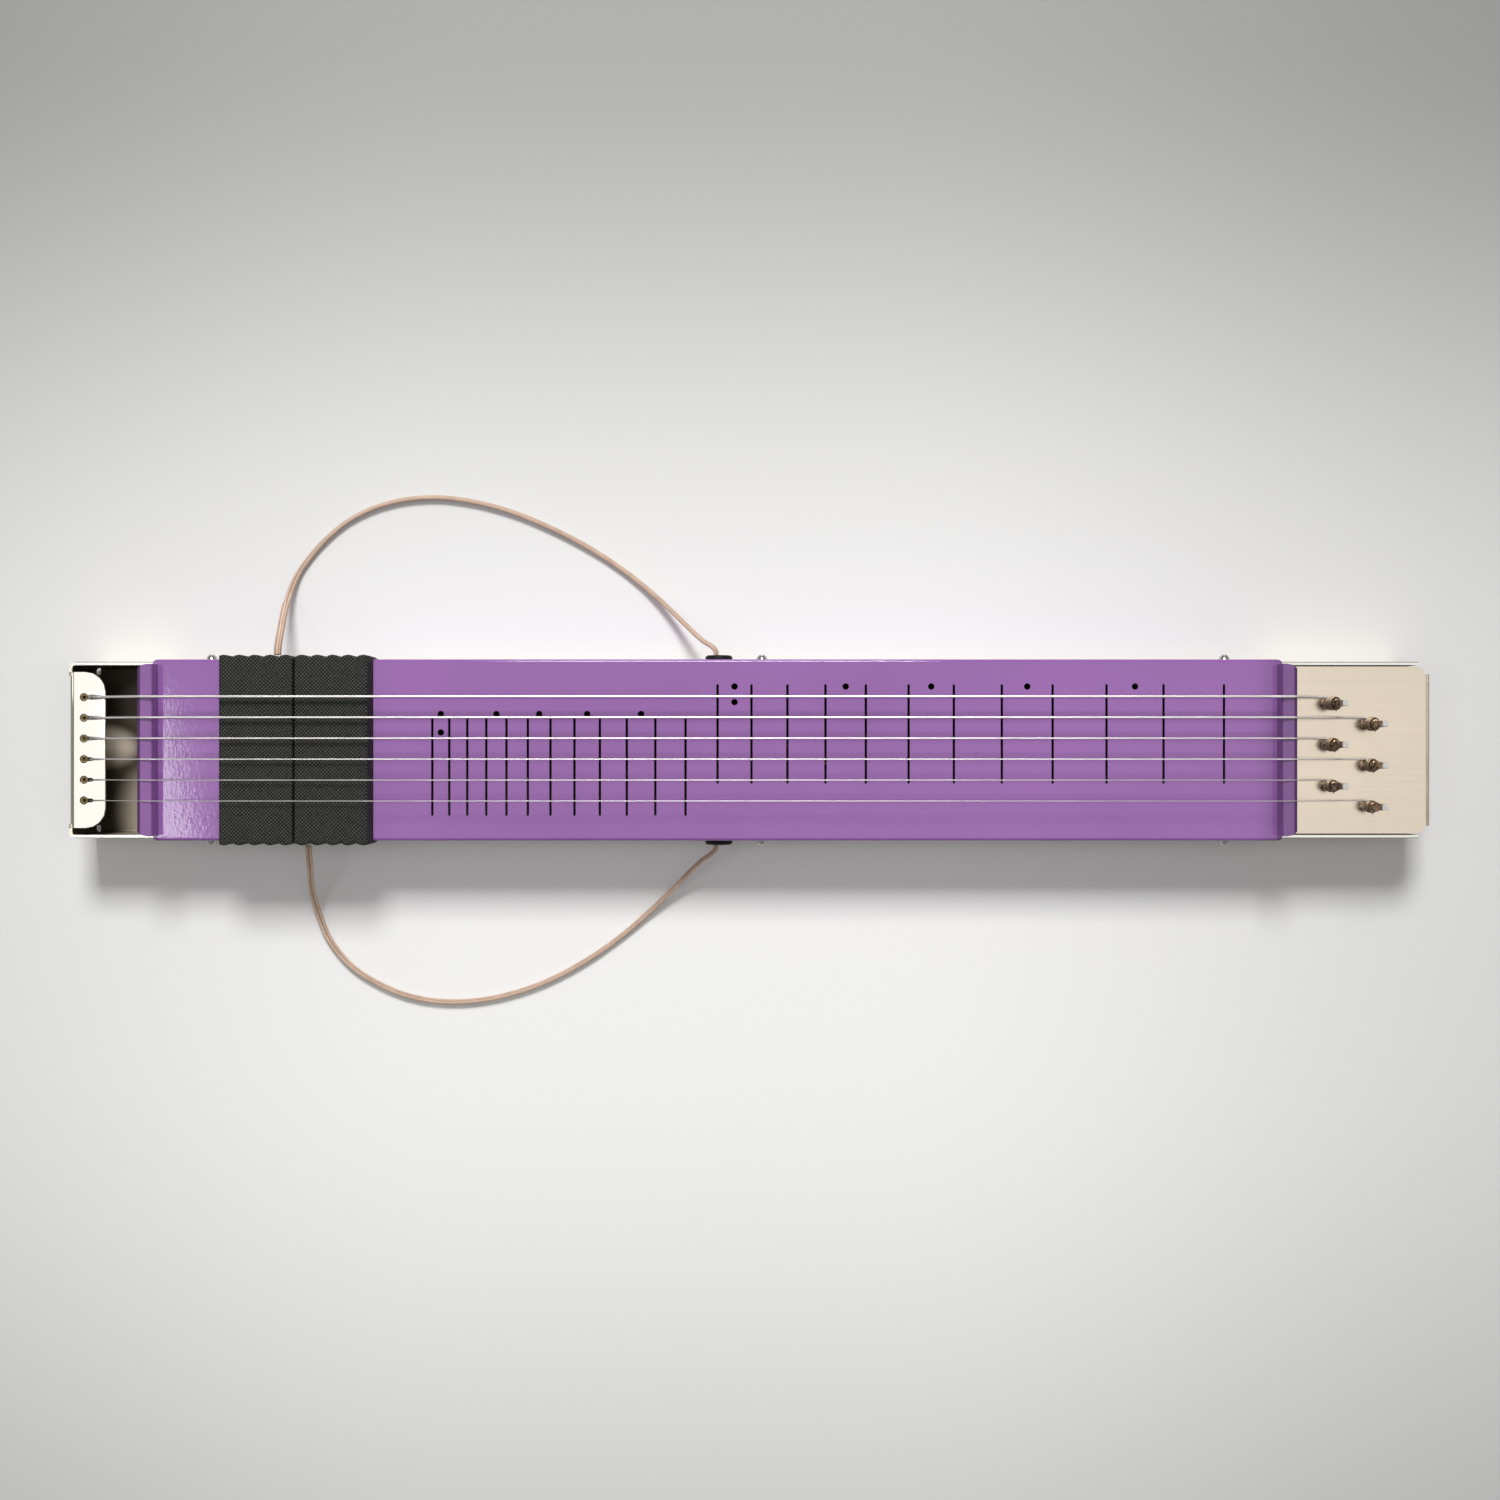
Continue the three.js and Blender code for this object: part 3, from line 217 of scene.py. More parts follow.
LOWER_LEAD_ROUTE = [
    (-222.7, -48, 32), (-222.7, -50.2, 31.8), (-222.8, -54, 30.2), (-223, -58, 27.6), (-223.5, -62.6, 23.9),
    (-224.7, -68.6, 18), (-225.5, -74.8, 11), (-225, -81.5, 5.5), (-223.1, -89.3, 2.6),
    (-219.8, -97.4, 1.8), (-214.1, -105.8, 1.8),
    (-205.8, -114.1, 1.8), (-194.8, -121.1, 1.8), (-179.7, -127.6, 1.8), (-161.5, -131, 1.8),
    (-141.7, -130.5, 1.8), (-122.9, -126.6, 1.8), (-104.2, -119.8, 1.8), (-84.4, -109.1, 1.8),
    (-66.7, -96.6, 1.8), (-52, -83.8, 3), (-40.4, -72.5, 7), (-30.9, -62.7, 13), (-24.2, -56.2, 18.8),
    (-19.2, -52.6, 22.8), (-17.4, -50.4, 23.9), (-17.3, -48.5, 24),
]
ROUTE_STEPS = 9
LEAD_SIDES = 12
SLEEVE_SIDES = 20
SLEEVE_SHARE = 0.11

# The strands' lean: how far they roll over, and over which shares of the lead
LEAN = math.radians(58)
LEAN_START_SHARE = 0.05
LEAN_SHARE = 0.25

# Pieces that stand in the holes of the sheets
COVER_SCREWS = (1, 2, 3)
BLOCK_SCREWS = (1, 2, 3, 4)
HOLE_FILLERS = (
    *[f"upper_cover_screw_{number}" for number in COVER_SCREWS], "upper_grommet", "jack_nut", "jack_sleeve",
    *[f"block_screw_{number}" for number in BLOCK_SCREWS],
)

# Sockets of a Mix node that carry colours
LOW_COLOUR = 6
HIGH_COLOUR = 7
MIXED_COLOUR = 2


def colour_property(name, description, default):
    return FloatVectorProperty(
        name=name, description=description, subtype="COLOR", size=3, min=0, max=1, default=default
    )


def length_property(name, description, default):
    return FloatProperty(
        name=name, description=description, unit="LENGTH", min=0, precision=5, default=default
    )


def power_property(name, description, default):
    return FloatProperty(name=name, description=description, unit="POWER", min=0, default=default)


class LapSteelStudio(bpy.types.PropertyGroup):
    floor_colour: colour_property("Floor", "Colour of the pale floor", (0.88, 0.88, 0.87))
    sky_strength: FloatProperty(
        name="Sky", description="Light that comes from all round", min=0, default=0.25
    )
    key_power: power_property("Key light", "Softbox above the bass side that throws the shadow", 140)
    key_size: length_property("Key size", "Side of the key softbox", 1.1)
    ceiling_power: power_property("Ceiling light", "Long overhead softbox mirrored in the bare metal", 5.6)
    panel_power: power_property("Tail panel", "Bright panel mirrored in the tail end of the deck", 0.47)
    side_power: power_property("Side lights", "Softboxes at both ends that light the risers", 2)
    camera_height: length_property("Camera height", "Camera above the floor", 0.938)
    field_width: length_property("Field", "Width seen at the height of the deck", 0.75132)


class LapSteelSheets(bpy.types.PropertyGroup):
    nickel: colour_property("Nickel", "Warm tone of the plated tray", (0.73, 0.635, 0.515))
    coat: colour_property("Coat", "Purple of the powder coat", (0.275, 0.108, 0.362))
    # Partly a painted highlight: the tab's paler tone, over its real polish
    tab: colour_property("Tab", "Paler, polished tone of the tail tab", (0.81, 0.79, 0.73))
    # Painted highlight: the paler tone along the walls' top edges
    rim: colour_property("Rim", "Paler tone of the walls' cut edges", (0.80, 0.79, 0.73))
    # Painted shade: the dark tone inside the tray, on the tab's fold and along the walls' outer edges
    painted_shade: colour_property("Hollow", "Smoked tone inside the tray", (0.13, 0.108, 0.078))
    # Painted reflection: colour of the bright spots on the tray's floor at the tail
    painted_gleam: colour_property("Gleam", "Clouded bright places on the floor at the tail", (0.92, 0.81, 0.66))
    edge: length_property("Edge", "Rounding of the tray's cut edges", 0.0004)
    coat_edge: length_property("Coated edge", "Rounding of the cover's cut edges under the coat", 0.0003)
    peel: length_property("Peel", "Width of the fine waves in the coat", 0.0011)


class LapSteelPickups(bpy.types.PropertyGroup):
    shell: colour_property("Shell", "Charcoal of the housings", (0.019, 0.020, 0.0172))
    knurl: length_property("Knurl", "Distance between the points of the moulded knurl", 0.0013)
    flute: length_property("Flute", "Depth of the hollows between the flutes", 0.00143)
    crest: length_property("Crest", "Rounding round the housings' top", 0.0012)


class LapSteelWires(bpy.types.PropertyGroup):
    # Its faint pink tint is a painted reflection of the purple deck
    steel: colour_property("String steel", "Tone of the strings", (0.87, 0.825, 0.825))
    bronze: colour_property("Winding", "Tone of the string wound on the pins", (0.30, 0.225, 0.16))
    brass: colour_property("Brass", "Tone of the ball ends", (0.36, 0.26, 0.13))
    chrome: colour_property("Chrome", "Tone of the pins and screws", (0.80, 0.79, 0.77))
    head: length_property("Head", "How far the cover screws' heads stand out", 0.0029)
    sides: IntProperty(name="Sides", description="Sides of a round wire", default=14, min=6)


class LapSteelLeads(bpy.types.PropertyGroup):
    strand: length_property("Strand", "Thickness of each of the two strands of a lead", 0.0017)
    sleeve: length_property("Sleeve", "Thickness of the sleeve on the upper lead", 0.0038)
    pale: colour_property("Pale braid", "Bright crossings of the braid", (0.83, 0.64, 0.51))
    deep: colour_property("Deep braid", "Shaded crossings of the braid", (0.40, 0.25, 0.17))
    braid: length_property("Braid", "Length of one crossing of the braid", 0.0011)
    fold: FloatProperty(
        name="Fold", description="Slope of the lower lead's bend, which lays it in a loop", default=-0.3
    )


# Shader maths


class Signal:
    """A shader output that Python's operators join to others through Math nodes"""

    def __init__(self, finish, socket):
        self.finish = finish
        self.socket = socket

    def math(self, operation, *values):
        return self.finish.node("ShaderNodeMath", {"operation": operation}, dict(enumerate(values)))

    def __add__(self, other):
        return self.math("ADD", self, other)

    def __radd__(self, other):
        return self.math("ADD", other, self)

    def __sub__(self, other):
        return self.math("SUBTRACT", self, other)

    def __rsub__(self, other):
        return self.math("SUBTRACT", other, self)

    def __mul__(self, other):
        return self.math("MULTIPLY", self, other)

    def __rmul__(self, other):
        return self.math("MULTIPLY", other, self)

    def sine(self):
        return self.math("SINE", self)

    def size(self):
        return self.math("ABSOLUTE", self)

    def above(self, low, high):
        """Rises smoothly from 0 at low to 1 at high"""
        return self.finish.node(
            "ShaderNodeMapRange",
            {"interpolation_type": "SMOOTHSTEP"},
            {"Value": self, "From Min": low, "From Max": high},
        )

    def below(self, low, high):
        """Falls smoothly from 1 at low to 0 at high"""
        return 1 - self.above(low, high)


class Finish:
    """A material: one Principled shader, and the nodes that feed it"""

    def __init__(self, name, **sockets):
        self.material = bpy.data.materials.new(name)
        self.material.use_nodes = True
        self.tree = self.material.node_tree
        self.shader = self.tree.nodes["Principled BSDF"]
        for socket, value in sockets.items():
            self.shader.inputs[socket.replace("_", " ")].default_value = value

    def node(self, kind, settings=None, inputs=None, output=0):
        made = self.tree.nodes.new(kind)
        for setting, value in (settings or {}).items():
            setattr(made, setting, value)
        for socket, value in (inputs or {}).items():
            if isinstance(value, Signal):
                self.tree.links.new(value.socket, made.inputs[socket])
            else:
                made.inputs[socket].default_value = value
        return Signal(self, made.outputs[output])

    def feed(self, socket, signal):
        self.tree.links.new(signal.socket, self.shader.inputs[socket])

    def place(self):
        return self.node("ShaderNodeTexCoord", output="Object")

    def part(self, vector, axis):
        return self.node("ShaderNodeSeparateXYZ", inputs={0: vector}, output=axis)

    def along_wire(self):
        """The run along a wire in metres, and the share of the turn round it"""
        marks = self.node("ShaderNodeUVMap")
        return self.part(marks, "X"), self.part(marks, "Y")

    def scaled(self, vector, scale):
        return self.node("ShaderNodeVectorMath", {"operation": "MULTIPLY"}, {0: vector, 1: scale})

    def noise(self, vector, scale, detail, roughness=0.5):
        return self.node(
            "ShaderNodeTexNoise",
            inputs={"Vector": vector, "Scale": scale, "Detail": detail, "Roughness": roughness},
        )

    def spot(self, x, y, centre, reach):
        """Rises smoothly from 0 at the reach to 1 at the centre"""
        along = (x - centre[0]) * (1 / reach[0])
        across = (y - centre[1]) * (1 / reach[1])
        return (1 - along * along - across * across).above(0, 1)

    def mixed(self, share, low, high):
        low, high = [end if isinstance(end, Signal) else (*end, 1) for end in (low, high)]
        return self.node(
            "ShaderNodeMix",
            {"data_type": "RGBA"},
            {0: share, LOW_COLOUR: low, HIGH_COLOUR: high},
            output=MIXED_COLOUR,
        )

    def bump(self, height, distance, strength=1.0):
        self.feed("Normal", self.node(
            "ShaderNodeBump", inputs={"Strength": strength, "Distance": distance, "Height": height}
        ))


def shaded(colour, amount):
    return tuple(min(1.0, part * amount) for part in colour)


def floor_finish(studio):
    """Pale floor with a painted light falloff, darker away from the instrument"""
    finish = Finish("pale_floor", Roughness=0.65)
    place = finish.place()
    x, y = finish.part(place, "X"), finish.part(place, "Y")
    # Painted light falloff towards the far side, the near side and both ends
    far = 1 - 0.62 * y.above(0.0, 0.40)
    near = 1 - 0.45 * (0 - y).above(0.15, 0.62)
    aside = 1 - 0.25 * (x + 0.04).size().above(0.10, 0.50)
    finish.feed("Base Color", finish.mixed(far * near * aside, (0, 0, 0), studio.floor_colour))
    return finish.material


def nickel_finish(sheets):
    """Brushed plate and a polished tab, with painted shade inside the tray, at the fold and along the walls'
    outer edges, and painted highlights on the tab, the walls' top edges and the tray's floor at the tail
    """
    finish = Finish("nickel_sheet", Metallic=1.0)
    place = finish.place()
    brush = finish.noise(finish.scaled(place, (25, 2600, 2600)), 1, 3)
    cloud = finish.noise(place, 14, 3)
    x, y, z = [finish.part(place, axis) for axis in "XYZ"]
    side = y.size()

    # Painted shade: inside the tray the plate takes the dark painted-shade tone
    inside = side.below(INNER_SIDE, INNER_SIDE + BLUR) * z.above(INNER_BASE, INNER_BASE + BLUR)
    inside = inside * z.below(INNER_TOP - BLUR, INNER_TOP) * x.size().below(INNER_END, INNER_END + BLUR)
    within = side.below(TAB_SIDE, TAB_SIDE + SEAM)
    tab = x.above(FOLD_X, FOLD_X + SEAM) * x.below(TAB_END, TAB_END + TAB_BLUR)
    tab = tab * z.above(INNER_TOP, PLATE_TOP) * within
    fold = x.below(FOLD_X - TAB_BLUR, FOLD_X + SEAM) * within
    # Masks of the painted highlight on the walls' top edges and of the painted shade along their outer edges
    rim = side.above(RIM_SIDE, RIM_SIDE + SHARP) * z.above(PLATE_TOP - 0.0005, PLATE_TOP - SHARP)
    painted_outer_shade = side.above(RIM_SIDE + RIM_WIDTH, RIM_SIDE + RIM_WIDTH + BLUR)

    plated = finish.mixed(cloud.above(0.3, 0.7), shaded(sheets.nickel, 0.95), shaded(sheets.nickel, 1.05))
    # Painted shade on the fold at the tail
    plated = finish.mixed(0.75 * fold, plated, sheets.painted_shade)
    # The tab's paler tone is partly a painted highlight
    plated = finish.mixed(tab, plated, sheets.tab)
    # Painted highlight on the walls' top edges, and painted shade along their outer edges
    plated = finish.mixed(rim, plated, finish.mixed(painted_outer_shade, sheets.rim, sheets.painted_shade))
    # Painted reflections on the tray's floor at the tail; they also take the metal down there, so that the
    # pale colour shows
    painted_gleam = finish.spot(x, y, *MAIN_GLEAM) * (0.75 + 0.5 * cloud)
    for centre, reach, strength in SIDE_GLEAMS:
        painted_gleam = painted_gleam + strength * finish.spot(x, y, centre, reach)
    painted_shade = finish.mixed(painted_gleam, sheets.painted_shade, sheets.painted_gleam)
    finish.feed("Base Color", finish.mixed(inside, plated, painted_shade))
    finish.feed("Metallic", 1 - 0.7 * inside * painted_gleam)
    finish.feed("Roughness", (0.17 + 0.08 * brush + 0.08 * cloud + 0.4 * inside) * (1 - 0.88 * tab))
    finish.bump(brush, 0.00001, 0.5)
    return finish.material


def coat_finish(sheets):
    """Powder coat with fine waves, and painted shade on the crowns, near the nut and beyond both crowns"""
    finish = Finish("purple_coat", Metallic=0.0)
    place = finish.place()
    peel = finish.noise(place, 1 / sheets.peel, 1)
    waves = finish.noise(finish.scaled(place, (620, 330, 620)), 1, 1)
    speckle = finish.noise(place, 2600, 1)
    cloud = finish.noise(place, 11, 2)
    x, z = finish.part(place, "X"), finish.part(place, "Z")
    # Painted shade: the coat is darker beyond both crowns, on the crowns, and on the deck before the nut
    beyond = x.above(NUT_CROWN, NUT_CROWN + CROWN_BLUR)
    beyond = beyond + (0 - x).above(-BRIDGE_CROWN, CROWN_BLUR - BRIDGE_CROWN)
    near = x.above(NUT_CROWN - 0.018, NUT_CROWN - 0.004) * (1 - beyond)
    crown = z.above(CROWN_TOP - 0.0030, CROWN_TOP - 0.0010)
    ridge_painted_shade = 1 - 0.16 * crown - 0.42 * beyond - 0.25 * near
    tone = finish.mixed(
        (0.6 * cloud + 0.4 * speckle).above(0.3, 0.7), shaded(sheets.coat, 0.93), shaded(sheets.coat, 1.07)
    )
    finish.feed("Base Color", finish.scaled(tone, ridge_painted_shade))
    finish.feed("Roughness", 0.05 + 0.04 * cloud + 0.4 * beyond)
    finish.feed("Metallic", 0.6 * beyond)
    finish.bump(peel + 1.1 * waves, 0.000013)
    return finish.material


def shell_finish(pickups):
    """Moulded black with a knurl of crossed lines, worn in places, with painted highlights on the knurl's
    points and painted shade between them
    """
    finish = Finish("black_texture", Metallic=0.0, Specular_IOR_Level=0.25)
    place = finish.place()
    x, y, z = [finish.part(place, axis) for axis in "XYZ"]
    drift = finish.noise(place, 160, 2)
    turn = math.pi * math.sqrt(2) / pickups.knurl / 2
    one = ((x + y + z) * turn + 2.5 * drift).sine()
    two = ((x - y - z) * turn + 2.5 * drift).sine()
    worn = finish.noise(place, 700, 1)
    knurl = (one * two).size() * (0.35 + 1.3 * worn)
    grain = finish.noise(place, 1900, 2)
    # Painted highlight and shade: the knurl's raised points take a lit copy of the shell, the hollows a
    # shaded one
    deep, bright = shaded(pickups.shell, 0.2), shaded(pickups.shell, 3.2)
    finish.feed("Base Color", finish.mixed(knurl.above(0.1, 0.95), deep, bright))
    finish.feed("Roughness", 0.62 - 0.2 * knurl + 0.1 * grain)
    finish.bump(knurl + 0.35 * grain, 0.00025, 0.8)
    return finish.material


def rubber_finish():
    finish = Finish("black_rubber", Metallic=0.0, Specular_IOR_Level=0.2)
    grain = finish.noise(finish.place(), 1500, 3)
    finish.feed("Base Color", finish.mixed(grain, (0.003, 0.003, 0.003), (0.010, 0.010, 0.010)))
    finish.feed("Roughness", 0.42 + 0.2 * grain)
    finish.bump(grain, 0.00005, 0.4)
    return finish.material


def braid_finish(leads):
    """Crossing bundles of fine copper wire, four to a turn"""
    finish = Finish("copper_braid", Metallic=0.2)
    run, around = finish.along_wire()
    phase = run * (FULL_TURN / leads.braid)
    lap = around * (FULL_TURN * 4)
    weave = (phase + lap).sine() * (phase - lap).sine()
    wear = finish.noise(finish.place(), 160, 2)
    share = (0.5 + 0.5 * weave + 0.5 * (wear - 0.5)).above(0.1, 0.9)
    finish.feed("Base Color", finish.mixed(share, leads.deep, leads.pale))
    finish.feed("Roughness", 0.55 - 0.12 * share)
    finish.bump(weave, 0.00012, 0.8)
    return finish.material


def wire_finish(name, colour, roughness, wrap, depth, metallic=1.0):
    """A drawn or wound wire with rings of wrap along its run, darker towards the keyholes"""
    finish = Finish(name, Metallic=metallic)
    run, around = finish.along_wire()
    ring = (run * (math.pi / wrap) + around * math.pi).sine().size()
    place = finish.place()
    tarnish = finish.noise(place, 60, 3)
    # Darker towards the keyholes
    away_from_keyholes = finish.part(place, "X").above(KEYHOLE_X + 0.003, KEYHOLE_X + 0.013)
    tone = finish.mixed(tarnish.above(0.25, 0.75), shaded(colour, 0.86), colour)
    finish.feed("Base Color", finish.mixed(away_from_keyholes, shaded(colour, 0.3), tone))
    finish.feed("Roughness", roughness + 0.12 * tarnish)
    finish.bump(ring, depth, 0.5)
    return finish.material


def metal_finish(name, colour, roughness):
    finish = Finish(name, Metallic=1.0)
    place = finish.place()
    turned = finish.noise(place, 240, 3)
    haze = finish.noise(place, 45, 2)
    finish.feed("Base Color", finish.mixed(haze.above(0.3, 0.7), shaded(colour, 0.9), colour))
    finish.feed("Roughness", roughness + 0.1 * turned)
    finish.bump(turned, 0.00001, 0.3)
    return finish.material


def pin_finish(wires):
    """Bright square heads over browned, threaded shafts"""
    finish = Finish("chrome_steel", Metallic=1.0)
    place = finish.place()
    bright = finish.part(place, "Z").above(HEAD_SHINE, HEAD_SHINE + SHINE_BLUR)
    stain = finish.noise(place, 620, 3)
    aged = finish.mixed(stain.above(0.38, 0.62), shaded(wires.bronze, 0.45), shaded(wires.bronze, 2.3))
    finish.feed("Base Color", finish.mixed(bright, aged, wires.chrome))
    finish.feed("Metallic", 1 - 0.6 * bright)
    finish.feed("Roughness", 0.42 + 0.1 * stain - 0.30 * bright)
    finish.bump(stain, 0.00003, 0.4)
    return finish.material


def wood_finish():
    finish = Finish("maple", Metallic=0.0)
    grain = finish.noise(finish.scaled(finish.place(), (14, 420, 180)), 1, 4, 0.6)
    finish.feed("Base Color", finish.mixed(grain.above(0.3, 0.72), (0.42, 0.27, 0.13), (0.66, 0.47, 0.27)))
    finish.feed("Roughness", 0.5 + 0.2 * grain)
    finish.bump(grain, 0.0001, 0.4)
    return finish.material


def board_finish():
    finish = Finish("phenolic", Metallic=0.0)
    fibre = finish.noise(finish.scaled(finish.place(), (900, 260, 900)), 1, 3)
    finish.feed("Base Color", finish.mixed(fibre, (0.075, 0.032, 0.014), (0.14, 0.064, 0.03)))
    finish.feed("Roughness", 0.45 + 0.2 * fibre)
    finish.bump(fibre, 0.00004, 0.4)
    return finish.material


# Shaping


def rest():
    if bpy.context.object and bpy.context.object.mode != "OBJECT":
        bpy.ops.object.mode_set(mode="OBJECT")
    bpy.ops.object.select_all(action="DESELECT")


def pick(piece):
    rest()
    piece.select_set(True)
    bpy.context.view_layer.objects.active = piece


def edit_all(piece, operator, **settings):
    """Runs one of edit mode's operators on the whole of a piece"""
    pick(piece)
    bpy.ops.object.mode_set(mode="EDIT")
    bpy.ops.mesh.select_all(action="SELECT")
    operator(**settings)
    bpy.ops.object.mode_set(mode="OBJECT")


def new_piece(name, mesh):
    piece = bpy.data.objects.new(name, mesh)
    bpy.context.scene.collection.objects.link(piece)
    return piece


def apply_modifier(piece, kind, **settings):
    pick(piece)
    modifier = piece.modifiers.new(kind.title(), kind)
    for setting, value in settings.items():
        setattr(modifier, setting, value)
    bpy.ops.object.modifier_apply(modifier=modifier.name)


def tidied(piece, flat=0.5, cuts=()):
    """Joins doubled corners, takes the lines out of flat faces and turns all faces outwards. A sheet with
    holes is first cut across them, so that no flat face has a hole in it."""
    pick(piece)
    bpy.ops.object.mode_set(mode="EDIT")
    bpy.ops.mesh.select_all(action="SELECT")
    bpy.ops.mesh.remove_doubles(threshold=JOIN_WITHIN)
    for place in cuts:
        bpy.ops.mesh.select_all(action="SELECT")
        bpy.ops.mesh.bisect(plane_co=(place, 0, 0), plane_no=(1, 0, 0), threshold=CUT_WITHIN)
        bpy.ops.mesh.mark_seam()
    bpy.ops.mesh.select_all(action="SELECT")
    if flat:
        bpy.ops.mesh.dissolve_limited(angle_limit=math.radians(flat), delimit={"SEAM"})
    bpy.ops.mesh.normals_make_consistent(inside=False)
    bpy.ops.object.mode_set(mode="OBJECT")


def rounded(piece, width, segments, corner):
    apply_modifier(
        piece, "BEVEL", width=width, segments=segments, limit_method="ANGLE",
        angle_limit=math.radians(corner), use_clamp_overlap=True,
        miter_outer="MITER_ARC" if segments > 2 else "MITER_SHARP",
    )


def smoothed(piece, angle):
    pick(piece)
    bpy.ops.object.shade_smooth_by_angle(angle=math.radians(angle))
    apply_modifier(piece, "WEIGHTED_NORMAL", keep_sharp=True, weight=60)


def dressed_copy(node, name, edge, segments=2, corner=40, angle=35, cuts=()):
    """A frame node's own shape with rounded edges and smooth bends, which stands for the node"""
    mesh = frame["nodes"][node].data.copy()
    mesh.name = name
    piece = new_piece(name, mesh)
    tidied(piece, cuts=cuts)
    if edge:
        rounded(piece, edge, segments, corner)
    smoothed(piece, angle)
    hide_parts(node)
    return piece


def dress(piece, material):
    piece.data.materials.clear()
    piece.data.materials.append(material)


def paint(nodes, material):
    for node in nodes:
        mesh = frame["nodes"][node].data
        mesh.materials.clear()
        mesh.materials.append(material)


def turned(name, profile, steps=32):
    """A profile of radius and height spun once about the Z axis"""
    mesh = bpy.data.meshes.new(name)
    corners = [(radius, 0, height) for radius, height in profile]
    mesh.from_pydata(corners, [(k, k + 1) for k in range(len(profile) - 1)], [])
    piece = new_piece(name, mesh)
    edit_all(piece, bpy.ops.mesh.spin, steps=steps, angle=FULL_TURN, center=(0, 0, 0), axis=(0, 0, 1))
    tidied(piece, flat=0)
    return piece


def bow(middle, radius, start, end):
    """Points on an upright arc round middle, its angles measured from the X axis up"""
    angles = [start + (end - start) * k / CROWN_STEPS for k in range(CROWN_STEPS + 1)]
    return [middle + radius * Vector((math.cos(angle), 0, math.sin(angle))) for angle in angles]


def wire_mesh(name, points, radius, sides, square_to, strands=(0.0,), lean=None):
    """Round strands swept along points, each that far beside the line, with a UV map of the run in metres
    and the share of the turn. The section's side is square to square_to, and lean turns it on the way."""
    corners, faces, marks = [], [], []
    runs = [0.0]
    for before, after in zip(points, points[1:]):
        runs.append(runs[-1] + (after - before).length)
    frames = []
    for k, place in enumerate(points):
        ahead = (points[min(k + 1, len(points) - 1)] - points[max(k - 1, 0)]).normalized()
        side = ahead.cross(square_to).normalized()
        up = side.cross(ahead)
        tilt = lean(runs[k] / runs[-1]) if lean else 0.0
        leant_side = side * math.cos(tilt) + up * math.sin(tilt)
        leant_up = up * math.cos(tilt) - side * math.sin(tilt)
        frames.append((place, leant_side, leant_up))
    for across in strands:
        first = len(corners)
        for k, (place, side, up) in enumerate(frames):
            middle = place + across * side
            thick = radius[k] if isinstance(radius, list) else radius
            for j in range(sides):
                turn = FULL_TURN * j / sides
                corners.append(middle + thick * (math.cos(turn) * side + math.sin(turn) * up))
        for k, (low, high) in enumerate(zip(runs, runs[1:])):
            ring = first + k * sides
            for j in range(sides):
                a, b = ring + j, ring + (j + 1) % sides
                here, there = j / sides, (j + 1) / sides
                faces.append((a, b, b + sides, a + sides))
                marks += [(low, here), (low, there), (high, there), (high, here)]
        last = len(corners) - sides
        faces.append(list(range(first + sides - 1, first - 1, -1)))
        faces.append(list(range(last, last + sides)))
        marks += [(0.0, 0.0)] * (2 * sides)
    mesh = bpy.data.meshes.new(name)
    mesh.from_pydata(corners, [], faces)
    layer = mesh.uv_layers.new(name="UVMap")
    for mark, uv in zip(marks, layer.data):
        uv.uv = mark
    return mesh


def wire(name, points, radius, sides, square_to, **section):
    piece = new_piece(name, wire_mesh(name, points, radius, sides, square_to, **section))
    edit_all(piece, bpy.ops.mesh.normals_make_consistent, inside=False)
    bpy.ops.object.shade_smooth_by_angle(angle=math.radians(50))
    return piece


def join(piece, other):
    """Makes the other piece a part of the first"""
    pick(piece)
    other.select_set(True)
    bpy.ops.object.join()


def move(piece, matrix):
    piece.data.transform(matrix)
    piece.data.update()


def smooth_route(route, steps):
    """Points on the smooth line through a route, as many to each stretch, as the part's source draws it"""
    places = [Vector(place) * MILLIMETRE for place in route]
    ends = [2 * places[0] - places[1], *places, 2 * places[-1] - places[-2]]
    points = []
    for p0, p1, p2, p3 in zip(ends, ends[1:], ends[2:], ends[3:]):
        t1 = math.sqrt((p1 - p0).length)
        t2 = t1 + math.sqrt((p2 - p1).length)
        t3 = t2 + math.sqrt((p3 - p2).length)
        for k in range(steps):
            t = t1 + (t2 - t1) * k / steps
            a1 = p0 * ((t1 - t) / t1) + p1 * (t / t1)
            a2 = p1 * ((t2 - t) / (t2 - t1)) + p2 * ((t - t1) / (t2 - t1))
            a3 = p2 * ((t3 - t) / (t3 - t2)) + p3 * ((t - t2) / (t3 - t2))
            b1 = a1 * ((t2 - t) / t2) + a2 * (t / t2)
            b2 = a2 * ((t3 - t) / (t3 - t1)) + a3 * ((t - t1) / (t3 - t1))
            points.append(b1 * ((t2 - t) / (t2 - t1)) + b2 * ((t - t1) / (t2 - t1)))
    points.append(places[-1])
    return points


def run_of(points):
    return sum((after - before).length for before, after in zip(points, points[1:]))


def first_share(points, share):
    """The first part of a line, up to a share of its run"""
    wanted = share * run_of(points)
    run = 0.0
    kept = [points[0]]
    for before, after in zip(points, points[1:]):
        step = (after - before).length
        if run + step >= wanted:
            kept.append(before.lerp(after, (wanted - run) / step))
            break
        kept.append(after)
        run += step
    return kept


def fret_place(fret):
    """Where a fret lies along the deck, by equal temperament"""
    return BRIDGE_CROWN + (NUT_CROWN - BRIDGE_CROWN) * 2 ** (-fret / OCTAVE)


def pin_frame(number):
    """The tuning pin's own axes: zero at the headplate, Z along the pin"""
    joint = next(j for j in frame["joints"] if j["name"] == f"pin_{number}_turn")
    return Matrix.Translation(joint["pos_m"]) @ Matrix.Rotation(PIN_LEAN, 4, "Y")


def box_middle(node):
    low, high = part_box(node)
    return (low + high) / 2


# Operators


